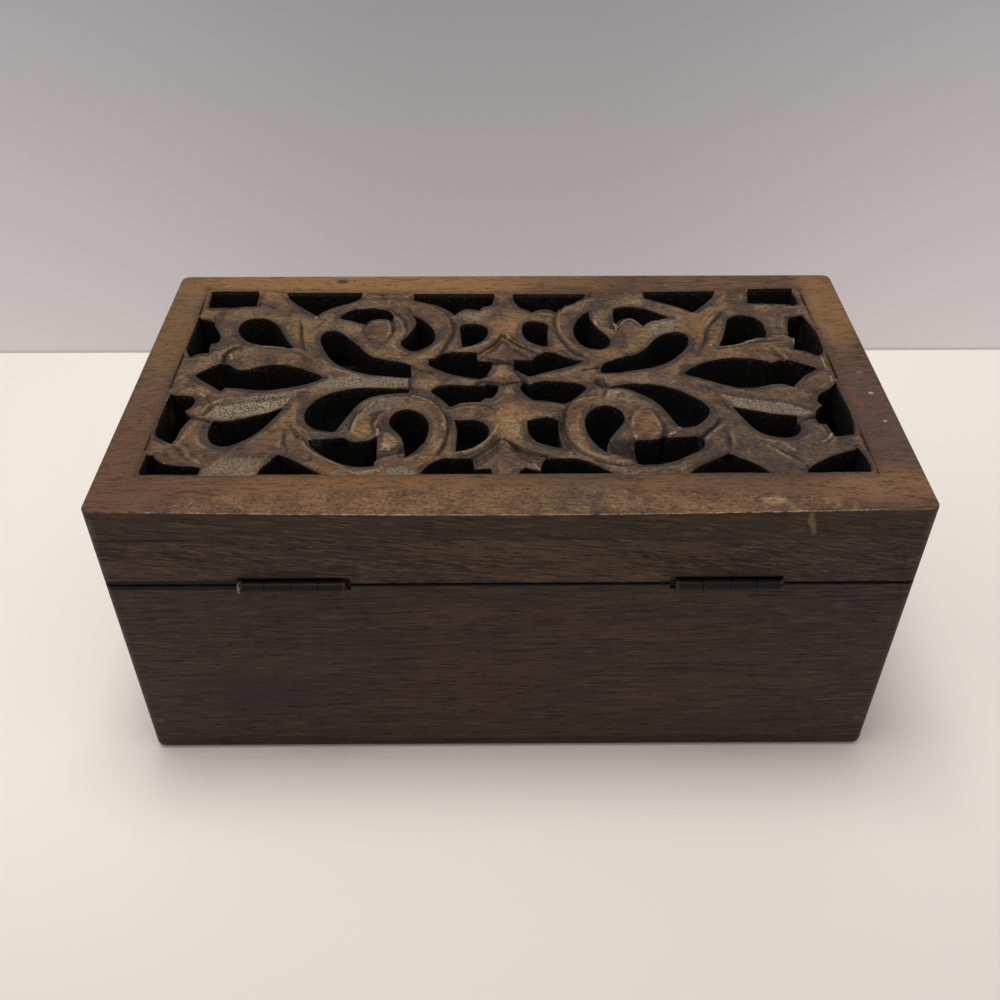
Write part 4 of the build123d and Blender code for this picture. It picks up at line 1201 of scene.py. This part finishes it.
    def masks(self, x, y, distance, rib, turned):
        bevel = self.bevelWidth(x, y, rib, turned)
        toBorder = self.toBorder(x, y)
        ragged = randomLattice(x, y, *noises["ragged"]) * marks["ragged"]
        clear = eased(toBorder, *marks["clearOfBorder"])
        before, after = marks["bevelEdge"]
        least, byTurn = marks["bevelTurn"]
        sloped = (1 - eased(distance + ragged, bevel - before, bevel + after)) * clear
        toCrest = distance - bevel - marks["crestAt"] + ragged * marks["crestRagged"]
        patches = eased(randomLattice(x, y, *noises["crestWearAndHighlight"]), *marks["crestPatches"])
        crestLeast, crestByTurn = marks["crestTurn"]
        border = (1 - eased(toBorder, *marks["borderGroove"])) * eased(distance, *marks["borderFromOpening"])
        rim = marks["rimShare"] * (1 - eased(distance, *marks["rimGroove"]))
        crestWearAndHighlight = hump(toCrest / marks["crestWidth"]) * clear * patches
        found = {
            # the slopes by the openings: darker stain and painted shade, stronger where the slope runs down
            # away from the hinges
            "bevel": sloped * np.clip(least + byTurn * turned, 0, 1),
            # pale crests at the top of the slopes: wear and painted highlight, stronger where the way into
            # the opening runs away from the hinges
            "crestWearAndHighlight": crestWearAndHighlight * (crestLeast + crestByTurn * turned),
            # dark lines of painted shade along the opening rims and at the carved ground's border
            "grooveShade": np.maximum(border * borderShare(y), rim),
            "punched": np.zeros(len(x)),
            "pale": np.zeros(len(x)),
            "nick": np.zeros(len(x)),
        }

        def add(name, mark):
            found[name] = np.maximum(found[name], mark)

        # knife lines, painted shade in the cut
        for width, depth, points in cuts:
            stroke = strokeShare(x, y, points, width * marks["cutWidth"])
            add("grooveShade", eased(stroke, *marks["cutEdge"]) * min(1.0, depth))
        least, byNoise = marks["ridgeShare"]
        patchy = least + byNoise * randomLattice(x, y, *noises["ridge"])
        # ridge tops, pale: wear and painted highlight
        for width, _, points in ridges:
            add("crestWearAndHighlight", eased(strokeShare(x, y, points, width), *marks["ridgeEdge"]) * patchy)
        grooveAt, grooveWidth = marks["foldGroove"]
        crestAt, crestWidth = marks["foldCrest"]
        for drop, reach, points in folds:
            signed, share = foldPlace(x, y, points, reach)
            share = share * min(1.0, drop * marks["foldShare"])
            low = eased(signed, *marks["foldLow"]) * (1 - eased(signed, reach * marks["foldLowEnd"], reach))
            # painted shade at the foot of each fold step
            add("grooveShade", hump((signed - grooveAt) / grooveWidth) * share)
            add("crestWearAndHighlight", hump((signed - crestAt) / crestWidth) * share * marks["foldCrestShare"])
            # the low side of each fold step, painted shade like the slopes
            add("bevel", low * share * marks["foldLowShare"])
        # hollows darkened with painted shade
        for depth, points in hollows:
            full = min(1.0, depth / marks["hollowFull"])
            add("grooveShade", softShape(x, y, points, marks["hollowEdge"]) * full)
        rubbed = randomLattice(x, y, *noises["nick"]) * marks["nickRagged"]
        for width, points in nicks:
            stroke = strokeShare(x, y, points, width)
            add("nick", eased(stroke + rubbed, *marks["nickEdge"]) * (stroke > marks["nickLeast"]))
        for strength, points in punchedGround:
            add("punched", strength * softShape(x, y, points, marks["punchedEdge"]))
        for strength, points in paleSmoothZones:
            add("pale", strength * softShape(x, y, points, marks["paleEdge"]))
        return found


# Height of the frame where it is worn down. Elsewhere this lies over the solid.
def frameHeight(x, y):
    share = (y - frameWear["start"]) / (hingeEdge - frameWear["start"])
    share = min(max(0, share), frameWear["longest"])
    bow = max(0, 1 - (x / lidEnd) ** 2)
    return lidTop + frameWear["spare"] - frameWear["depth"] * bow * share ** frameWear["curve"]


def gridPlace(value, low, high, steps):  # the nearest line of a grid
    return np.clip(np.round((value - low) / (high - low) * steps), 0, steps).astype(int)


# From the sheet's rim up, and out past the lid's edges at the height of the frame
def frameRings(piece, middle, halfX, halfY):
    lift = carving["frameLift"]
    above = (lidTop + lift) * mm
    bpy.ops.object.mode_set(mode="EDIT")
    bpy.ops.mesh.select_all(action="SELECT")
    bpy.ops.mesh.region_to_loop()
    bpy.ops.mesh.extrude_edges_move(TRANSFORM_OT_translate={"value": (0, 0, lift * mm)})
    bpy.ops.transform.resize(value=(1, 1, 0), center_override=(0, 0, above))
    for ring in range(carving["frameRings"]):
        start = ring * carving["ringWidth"]
        end = start + carving["ringWidth"]
        wider = ((halfX + end) / (halfX + start), (halfY + end) / (halfY + start), 1)
        bpy.ops.mesh.extrude_edges_move(TRANSFORM_OT_translate={"value": (0, 0, 0)})
        bpy.ops.transform.resize(value=wider, center_override=(middle.x, middle.y, above))
    bpy.ops.object.mode_set(mode="OBJECT")
    for vertex in piece.data.vertices:
        if vertex.co.z > above - lift / 2 * mm:
            vertex.co.z = frameHeight(vertex.co.x / mm, vertex.co.y / mm) * mm


def pierce(piece, blank):  # cuts the block to the solid's outline and openings
    # the blank's sunk field is raised clear of the relief, so that the relief alone shapes it
    fieldFloor = lidTop - carving["fieldDepth"]
    for vertex in blank.data.vertices:
        if abs(vertex.co.z / mm - fieldFloor) < carving["fieldLevel"]:
            vertex.co.z += carving["fieldLift"] * mm
    selectOnly(piece)
    cutter = piece.modifiers.new("pierced", "BOOLEAN")
    cutter.object = blank
    cutter.operation = "INTERSECT"
    cutter.solver = "MANIFOLD"
    bpy.ops.object.modifier_apply(modifier="pierced")
    bpy.data.objects.remove(blank)


def smoothCarving(piece, relief):  # the walls of the openings and the large faces stay flat
    selectOnly(piece)
    bpy.ops.object.shade_smooth_by_angle(angle=math.radians(carving["smoothAngle"]))
    walls = np.zeros(len(piece.data.polygons), np.float32)
    for polygon in piece.data.polygons:
        spot = polygon.center / mm
        upright = abs(polygon.normal.z) < carving["uprightBelow"]
        walls[polygon.index] = upright and relief.onRim(spot.x, spot.y)
        if walls[polygon.index] or polygon.area > (carving["largestSmooth"] * mm) ** 2:
            polygon.use_smooth = False
    piece.data.attributes.new("opening", "FLOAT", "FACE").data.foreach_set("value", walls)


def carveBoard():
    blank = mergedCopy("carved_board")
    relief = Relief(blank)
    print("rim points:", len(relief.rims))
    halfX, hingeY, frontY = carvedField()
    columns = round(2 * halfX / carving["cell"])
    rows = round((hingeY - frontY) / carving["cell"])
    middle = Vector((fieldOffset, (hingeY + frontY) / 2, lidTop)) * mm
    bpy.ops.object.select_all(action="DESELECT")
    bpy.ops.mesh.primitive_grid_add(x_subdivisions=columns, y_subdivisions=rows, size=1, location=middle)
    piece = bpy.context.object
    piece.name = "carved_lid_board"
    piece.scale = (2 * halfX * mm, (hingeY - frontY) * mm, 1)
    bpy.ops.object.transform_apply(location=True, rotation=True, scale=True)

    points = meshPoints(piece)
    x, y = points[:, 0], points[:, 1]
    distance, turned = relief.toOpening(x, y)
    rib = relief.ribWidths(distance, columns + 1, rows + 1)
    turned = blurred(turned.reshape(rows + 1, columns + 1), carving["turnBlur"]).ravel()
    points[:, 2] = lidTop + relief.height(x, y, distance, rib, turned)
    piece.data.vertices.foreach_set("co", (points * mm).ravel())
    piece.data.update()
    print("relief heights set:", len(points), "points")

    # the sheet becomes a block, cut to the solid's openings
    frameRings(piece, middle, halfX, (hingeY - frontY) / 2)
    bpy.ops.object.mode_set(mode="EDIT")
    bpy.ops.mesh.select_all(action="SELECT")
    bpy.ops.mesh.extrude_region_move(TRANSFORM_OT_translate={"value": (0, 0, -carving["blockDepth"] * mm)})
    bpy.ops.mesh.select_all(action="SELECT")
    bpy.ops.mesh.normals_make_consistent(inside=False)
    bpy.ops.object.mode_set(mode="OBJECT")
    pierce(piece, blank)

    # the marks of the carving, each an attribute, from the grid line nearest to each point
    points = meshPoints(piece)
    x, y, z = points.T
    carved = (z < lidTop - marks["below"]) & (z > lidUnder + marks["aboveUnderside"])
    carved &= relief.toBorder(x, y) > marks["insideBorder"]
    lowX, highX = fieldOffset - halfX, fieldOffset + halfX
    column = gridPlace(x, lowX, highX, columns)
    row = gridPlace(y, frontY, hingeY, rows)
    lineX = np.linspace(lowX, highX, columns + 1)
    lineY = np.linspace(frontY, hingeY, rows + 1)
    near = np.hypot(lineX[column] - x, lineY[row] - y) < marks["nearGrid"]
    cell = row * (columns + 1) + column
    away = np.full(len(x), marks["elsewhere"])
    away[near] = relief.toOpening(x[near], y[near])[0]
    for name, values in relief.masks(x, y, away, rib[cell], turned[cell]).items():
        attribute = piece.data.attributes.new(name, "FLOAT", "POINT")
        attribute.data.foreach_set("value", np.where(carved & near, values, 0).astype(np.float32))
    smoothCarving(piece, relief)
    print("carved board:", len(piece.data.polygons), "faces", [round(v / mm, 2) for v in piece.dimensions])
    return piece


# Stain of the lid's top: broad golden, red and grey zones, each with its place and reach
topStains = {
    "goldenFront": {"place": (-45, 121), "reach": (75, 14), "colour": srgb(142, 104, 62), "strength": 0.85},
    "goldenHinge": {"place": (-38, 6), "reach": (50, 13), "colour": srgb(128, 88, 52), "strength": 0.65},
    "redCorner": {"place": (-102, 24), "reach": (26, 40), "colour": srgb(104, 70, 53), "strength": 0.6},
    "goldenEnd": {"place": (-110, 88), "reach": (12, 36), "colour": srgb(124, 92, 58), "strength": 0.6},
    "goldenPost": {"place": (2, 38), "reach": (7, 10), "colour": srgb(148, 112, 68), "strength": 0.7},
    "goldenFarPost": {"place": (0, 90), "reach": (7, 8), "colour": srgb(146, 106, 66), "strength": 0.7},
    "goldenBud": {"place": (-1, 65), "reach": (4, 3.4), "colour": srgb(142, 108, 66), "strength": 0.7},
    "goldenFork": {"place": (-68, 38), "reach": (7, 10), "colour": srgb(136, 100, 62), "strength": 0.6},
    "goldenFarFork": {"place": (-64, 90), "reach": (6, 10), "colour": srgb(142, 108, 66), "strength": 0.6},
    "goldenFarSide": {"place": (66, 92), "reach": (6, 12), "colour": srgb(138, 98, 62), "strength": 0.6},
    "goldenLobe": {"place": (-42, 38), "reach": (4, 8), "colour": srgb(134, 106, 66), "strength": 0.6},
    "goldenTongue": {"place": (44, 36), "reach": (3.4, 6), "colour": srgb(138, 98, 62), "strength": 0.7},
    "goldenStem": {"place": (-33.4, 27.6), "reach": (3.4, 3), "colour": srgb(152, 112, 70), "strength": 0.8},
    "greyPatch": {"place": (19, 8), "reach": (12, 9), "colour": srgb(90, 72, 58), "strength": 0.5},
    "warmMiddle": {"place": (2, 7), "reach": (22, 10), "colour": srgb(108, 78, 50), "strength": 0.5},
    "warmRight": {"place": (68, 7), "reach": (44, 10), "colour": srgb(126, 88, 60), "strength": 0.5},
    "dullRight": {"place": (80, 32), "reach": (34, 28), "colour": srgb(64, 54, 50), "strength": 0.8},
    "purpleEnd": {"place": (109, 44), "reach": (13, 32), "colour": srgb(88, 66, 57), "strength": 0.8},
    "redEnd": {"place": (105, 50), "reach": (3, 8), "colour": srgb(112, 66, 52), "strength": 0.5},
    "goldenFarEnd": {"place": (109, 102), "reach": (9, 30), "colour": srgb(136, 98, 60), "strength": 0.75},
    "goldenCorner": {"place": (104, 9), "reach": (22, 9), "colour": srgb(132, 96, 68), "strength": 0.6},
    "wornChip": {"place": (73, 3.2), "reach": (4.0, 2.0), "colour": srgb(168, 136, 98), "strength": 0.8},
}
# Small marks of the frame: a knot with a dot beside it, and three pale specks
spots = {
    "knot": {"place": (-56, 121), "reach": (2.6, 1.9), "colour": srgb(44, 36, 38)},
    "knotDot": {"place": (-51.6, 121.4), "reach": (0.7, 0.6), "colour": srgb(44, 36, 38)},
    "nearSpeck": {"place": (111.5, 37.9), "reach": (0.6, 0.5), "colour": srgb(176, 150, 136)},
    "middleSpeck": {"place": (111.2, 52.1), "reach": (0.9, 0.7), "colour": srgb(178, 152, 136)},
    "farSpeck": {"place": (110.6, 63.4), "reach": (1.3, 0.5), "colour": srgb(146, 106, 90)},
}
stainEdge = (0.45, 1.15)
# The look of the carving: colours, the levels between which they come in, and their strengths
carvedLook = {
    "board": {"offset": (6.2, 4.8, 14.1), "slope": 0.012, "sideSlope": -0.12},
    "depths": (0.05, 0.25),
    "ragged": {"patch": 1.2, "rag": 0.5},
    "blotches": (0.12, 3.0, 0.6),
    "ground": (srgb(62, 50, 43), srgb(124, 97, 68)),
    "groundEdge": (0.41, 0.59),
    "groundShare": 0.68,
    "tinges": (0.07, 2.0),
    "tinge": srgb(84, 62, 56),
    "tingeEdge": (0.50, 0.64, 0.6),
    "stainLost": 0.35,
    "grain": {"pores": 0.75, "streaks": 0.45, "lost": 0.5},
    "spotStrength": 0.85,
    "borderDarkness": {"ragged": 4.0, "out": (0.0, 3.2), "in": (-0.6, 0.2), "strength": 0.5},
    "uprightEdge": (0.25, 0.5),
    "grit": (1.1, 3.0, 0.75),
    "fine": {"fibres": 1.2, "grit": 2.6, "level": 0.9},
    # the slopes' dark colours, darker stain and painted shade
    "bevel": (srgb(52, 43, 39), srgb(71, 57, 48)),
    "bevelEdge": (0.35, 0.7),
    "bevelShare": 0.9,
    # pale crest colour, wear and painted highlight
    "crestWearAndHighlight": srgb(154, 126, 92),
    "crestHighlightShare": 0.8,
    "pale": srgb(136, 118, 96),
    "paleEdge": (0.42, 0.54),
    "paleLeast": 0.3,
    "paleShare": 0.75,
    "dots": (1.8, 2.0, 0.7),
    "dotEdge": (0.52, 0.62),
    "punched": srgb(146, 129, 109),
    "punchedShare": 0.85,
    "punchMark": srgb(76, 63, 50),
    "markShare": 0.85,
    # the dark colour of painted shade in grooves, cuts and hollows
    "grooveShade": srgb(26, 20, 18),
    "grooveShadeShare": 0.92,
    "nick": srgb(172, 148, 122),
    "nickShare": 0.6,
    "wearHighlightShare": 0.7,
    "roughness": {"wood": 0.50, "pores": 0.15, "patch": 0.1, "punched": 0.2, "opening": 0.3},
    "bumps": {"rag": 0.8, "punchMark": 3.0, "fleck": 3.0},
    "relief": 0.18,
}
# Its upright faces: the board's outer sides, in the rails' darker tones of painted shade, and the walls of
# the openings, dark-stained wood that is painted darker further down as painted shade
sideLook = {
    "from": (0.9, 2.5),
    "flecks": (0.50, 0.66, 0.6),
    "streaks": 0.7,
    "pores": 0.8,
    "patch": (0.45, 0.65, 0.5),
    "openingFlecks": (1.4, 2.0, 0.7),
    "openingFleckEdge": (0.56, 0.68),
    "deepFlecks": 0.3,
    "rimDepth": (0.8, 4.0),
    "inner": (srgb(14, 11, 10), srgb(84, 74, 64)),
    "atRim": 0.75,
    "shadeDeeperFrom": (0.8, 2.0),
}


def spot(graph, x, y, settings, ragged):
    centreX, centreY = fromPlan(settings["place"])
    reachX, reachY = settings["reach"]
    away = graph.reach((x - centreX) / reachX, (y - centreY) / reachY)
    return 1 - (away + ragged).ramp(*stainEdge)


# The top's stain, with the darker carved ground, and the spots of the frame
def stainedTop(graph, surface, carvedShare, blotch, dark):
    look = carvedLook
    x, y = surface["x"], surface["y"]
    ragged = ((surface["patch"] - 0.5) * look["ragged"]["patch"]
              + (surface["rag"] - 0.5) * look["ragged"]["rag"])
    ground = graph.mix(blotch.ramp(*look["groundEdge"]), *look["ground"])
    tinge = graph.noise(surface["place"], *look["tinges"])
    ground = graph.mix(tinge.ramp(*look["tingeEdge"]), ground, look["tinge"])
    colour = graph.mix(carvedShare * look["groundShare"], surface["colour"], ground)
    for stain in topStains.values():
        share = spot(graph, x, y, stain, ragged) * stain["strength"] * (1 - carvedShare * look["stainLost"])
        colour = graph.mix(share, colour, stain["colour"])
    grain = look["grain"]
    grainMark = surface["pores"] * grain["pores"] + surface["streaks"] * grain["streaks"]
    colour = graph.mix(grainMark * (1 - carvedShare * grain["lost"]), colour, dark)
    colour = graph.shaded(colour, wood["topShade"])
    for mark in spots.values():
        share = spot(graph, x, y, mark, ragged * 0.5) * look["spotStrength"]
        colour = graph.mix(share, colour, mark["colour"])
    return colour


def borderDarkening(surface):  # darker where the frame meets the carved ground
    borderDarkness = carvedLook["borderDarkness"]
    x, y = surface["x"], surface["y"]
    aside = (x - fieldOffset) / fieldEnd
    front = fieldFront + (1 - aside * aside) * carving["frontBow"]
    toField = ((x - fieldOffset).size() - fieldEnd).most(y - fieldHinge).most(front - y)
    out = (toField + (surface["rag"] - 0.5) * borderDarkness["ragged"]).ramp(*borderDarkness["out"])
    return (1 - out) * toField.ramp(*borderDarkness["in"]) * borderDarkness["strength"]


def sideColour(graph, surface):
    tone = litAndShadedTones["rail"]
    colour = graph.mix(surface["flecks"].ramp(*sideLook["flecks"]), tone["brown"], tone["light"])
    colour = graph.mix(surface["streaks"] * sideLook["streaks"], colour, tone["dark"])
    colour = graph.mix(surface["pores"] * sideLook["pores"], colour, tone["pore"])
    return graph.mix(surface["patch"].ramp(*sideLook["patch"]), colour, tone["purple"])


def carvedMaterial():
    tone = litAndShadedTones["top"]
    look = carvedLook
    graph = Graph("carved_board_wood")
    surface = woodSurface(graph, look["board"], tone)
    x, y, z = surface["x"], surface["y"], surface["z"]
    facing = graph.split(graph.node("ShaderNodeTexCoord", output="Normal"))[2]
    carvedShare = (lidTop - z).ramp(*look["depths"])
    blotch = graph.noise(surface["place"], *look["blotches"])
    colour = stainedTop(graph, surface, carvedShare, blotch, tone["dark"])
    colour = graph.mix(borderDarkening(surface), colour, tone["dark"])

    # what the chisel and the punch left, on faces that look up, with painted shade on the slopes and in the
    # grooves, and a pale crest line that is partly painted highlight
    upright = 1 - facing.ramp(*look["uprightEdge"])
    flat = 1 - upright
    bevel, crestWearAndHighlight, grooveShade, punched, pale, nick = (
        graph.attribute(name) * flat for name in ("bevel", "crestWearAndHighlight", "grooveShade", "punched", "pale", "nick"))
    grit = graph.noise(surface["place"], *look["grit"])
    fine = look["fine"]
    texture = surface["fibres"] * fine["fibres"] + grit * fine["grit"] - fine["level"]
    bevelShadeTone = graph.mix(blotch.ramp(*look["bevelEdge"]), *look["bevel"])
    colour = graph.mix(bevel * look["bevelShare"], colour, bevelShadeTone)
    colour = graph.mix(crestWearAndHighlight * look["crestHighlightShare"], colour, look["crestWearAndHighlight"])
    least = look["paleLeast"]
    streaky = (surface["fibres"] * 0.5 + grit * 0.5).ramp(*look["paleEdge"])
    colour = graph.mix(pale * (least + (1 - least) * streaky) * look["paleShare"], colour, look["pale"])
    colour = graph.shaded(colour, 1 + (texture - 1) * carvedShare)
    punchMark = graph.noise(surface["place"], *look["dots"]).ramp(*look["dotEdge"]) * punched
    for name, mark, share in (("punched", punched, "punchedShare"), ("punchMark", punchMark, "markShare"),
                              ("grooveShade", grooveShade, "grooveShadeShare"), ("nick", nick, "nickShare")):
        colour = graph.mix(mark * look[share], colour, look[name])

    # the carved board's upright outer faces take the rails' darker tones, painted shade
    sideFace = (lidEnd - x.size()).least(hingeEdge - y.size()).ramp(*sideLook["from"])
    colour = graph.mix(upright * (1 - sideFace), colour, sideColour(graph, surface))
    fleck = graph.noise(surface["place"], *sideLook["openingFlecks"])
    nearRim = 1 - (lidTop - z).ramp(*sideLook["rimDepth"])
    deep = sideLook["deepFlecks"]
    flecked = fleck.ramp(*sideLook["openingFleckEdge"]) * (deep + (1 - deep) * nearRim)
    inner = graph.mix(flecked, *sideLook["inner"])
    opening = graph.attribute("opening")
    atRim = sideLook["atRim"]
    # painted shade down the opening walls, darker away from the rim
    shadedDeeper = atRim + (1 - atRim) * (lidTop - z).ramp(*sideLook["shadeDeeperFrom"])
    colour = graph.mix(opening * shadedDeeper, colour, inner)
    # the pale edge line, partly wear and partly painted highlight
    colour = graph.mix(surface["wearAndHighlight"] * look["wearHighlightShare"], colour, tone["wearAndHighlight"])
    colour = markBack(graph, surface, colour)

    rough = look["roughness"]
    roughness = (rough["wood"] + surface["pores"] * rough["pores"] + surface["patch"] * rough["patch"]
                 + punched * rough["punched"] + opening * rough["opening"])
    bumps = look["bumps"]
    height = (surface["height"] + surface["rag"] * bumps["rag"] - punchMark * bumps["punchMark"]
              + fleck * opening * bumps["fleck"])
    return graph.finish(colour, roughness, height, look["relief"], Specular_IOR_Level=wood["shine"])


carvedBoard = carveBoard()
carvedBoard.data.materials.clear()
carvedBoard.data.materials.append(carvedMaterial())
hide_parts("carved_board")
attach(carvedBoard, "lid")
print("carved board dressed")


# Felt lining: five pieces cut by hand and glued in, each a little uneven at its edges
felt = {
    "cell": 3.0,
    "unevenEdge": 0.35,
    "loft": 0.10,
    "sheetShare": 0.7,
    "raise": 0.05,
    "edgeRound": 0.18,
    "smoothAngle": 50,
    "edgeLumps": 7.0,
    "loftLumps": 11.0,
    "fibres": (1.8, 3.0, 0.7),
    "fibreEdge": (0.35, 0.7, 0.7),
    "clouds": (0.08, 2.0),
    "cloudShare": 0.2,
    "rough": 0.95,
    "relief": 0.25,
    "sheen": 0.25,
    "sheenRough": 0.6,
    "colour": srgb(26, 27, 34),
    "fibreColour": srgb(48, 50, 60),
}


def feltMaterial():
    graph = Graph("felt_fibres")
    place = graph.place()
    fibres = graph.noise(place, *felt["fibres"])
    clouds = graph.noise(place, *felt["clouds"])
    share = fibres.ramp(*felt["fibreEdge"]) + clouds * felt["cloudShare"]
    colour = graph.mix(share, felt["colour"], felt["fibreColour"])
    return graph.finish(colour, felt["rough"], fibres, felt["relief"],
                        Sheen_Weight=felt["sheen"], Sheen_Roughness=felt["sheenRough"])


def feltSheet(name, node, facing, seed):
    low, high = (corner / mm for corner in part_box(node))
    size = high - low
    thin = min(range(3), key=lambda axis: size[axis])
    wide, tall = [axis for axis in range(3) if axis != thin]
    bpy.ops.object.select_all(action="DESELECT")
    columns, rows = (round(size[axis] / felt["cell"]) for axis in (wide, tall))
    bpy.ops.mesh.primitive_grid_add(x_subdivisions=columns, y_subdivisions=rows, size=1)
    piece = bpy.context.object
    piece.name = name
    flat = meshPoints(piece) * mm  # from -0.5 to 0.5
    rim = np.maximum(abs(flat[:, 0]), abs(flat[:, 1])) > 0.4999
    lumps = randomLattice(flat[:, 0] * size[wide], flat[:, 1] * size[tall], felt["edgeLumps"], seed)
    trim = np.where(rim, 0.5 + 0.5 * lumps, 0)
    points = np.zeros((len(flat), 3))
    for column, axis in enumerate((wide, tall)):
        length = size[axis] - 2 * felt["unevenEdge"] * trim
        points[:, axis] = (low[axis] + high[axis]) / 2 + flat[:, column] * length
    loft = randomLattice(points[:, wide], points[:, tall], felt["loftLumps"], seed + 50) * felt["loft"]
    points[:, thin] = (low[thin] + high[thin]) / 2 + facing * felt["raise"] + loft
    piece.data.vertices.foreach_set("co", (points * mm).ravel())
    piece.data.update()
    thicken = piece.modifiers.new("thickness", "SOLIDIFY")
    thicken.thickness = size[thin] * felt["sheetShare"] * mm
    thicken.offset = 0
    bpy.ops.object.modifier_apply(modifier="thickness")
    soften = piece.modifiers.new("cutEdge", "BEVEL")
    soften.width = felt["edgeRound"] * mm
    soften.segments = 2
    soften.limit_method = "ANGLE"
    bpy.ops.object.modifier_apply(modifier="cutEdge")
    bpy.ops.object.mode_set(mode="EDIT")
    bpy.ops.mesh.select_all(action="SELECT")
    bpy.ops.mesh.normals_make_consistent(inside=False)
    bpy.ops.object.mode_set(mode="OBJECT")
    bpy.ops.object.shade_smooth_by_angle(angle=math.radians(felt["smoothAngle"]))
    piece.data.materials.append(feltFibres)
    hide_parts(node)
    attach(piece, "box")


feltFibres = feltMaterial()
feltSheet("felt_on_floor", "floor_felt", 1, 1)
feltSheet("felt_on_back", "back_felt", -1, 2)
feltSheet("felt_on_front", "front_felt", 1, 3)
feltSheet("felt_on_left", "left_felt", 1, 4)
feltSheet("felt_on_right", "right_felt", -1, 5)
print("felt laid")
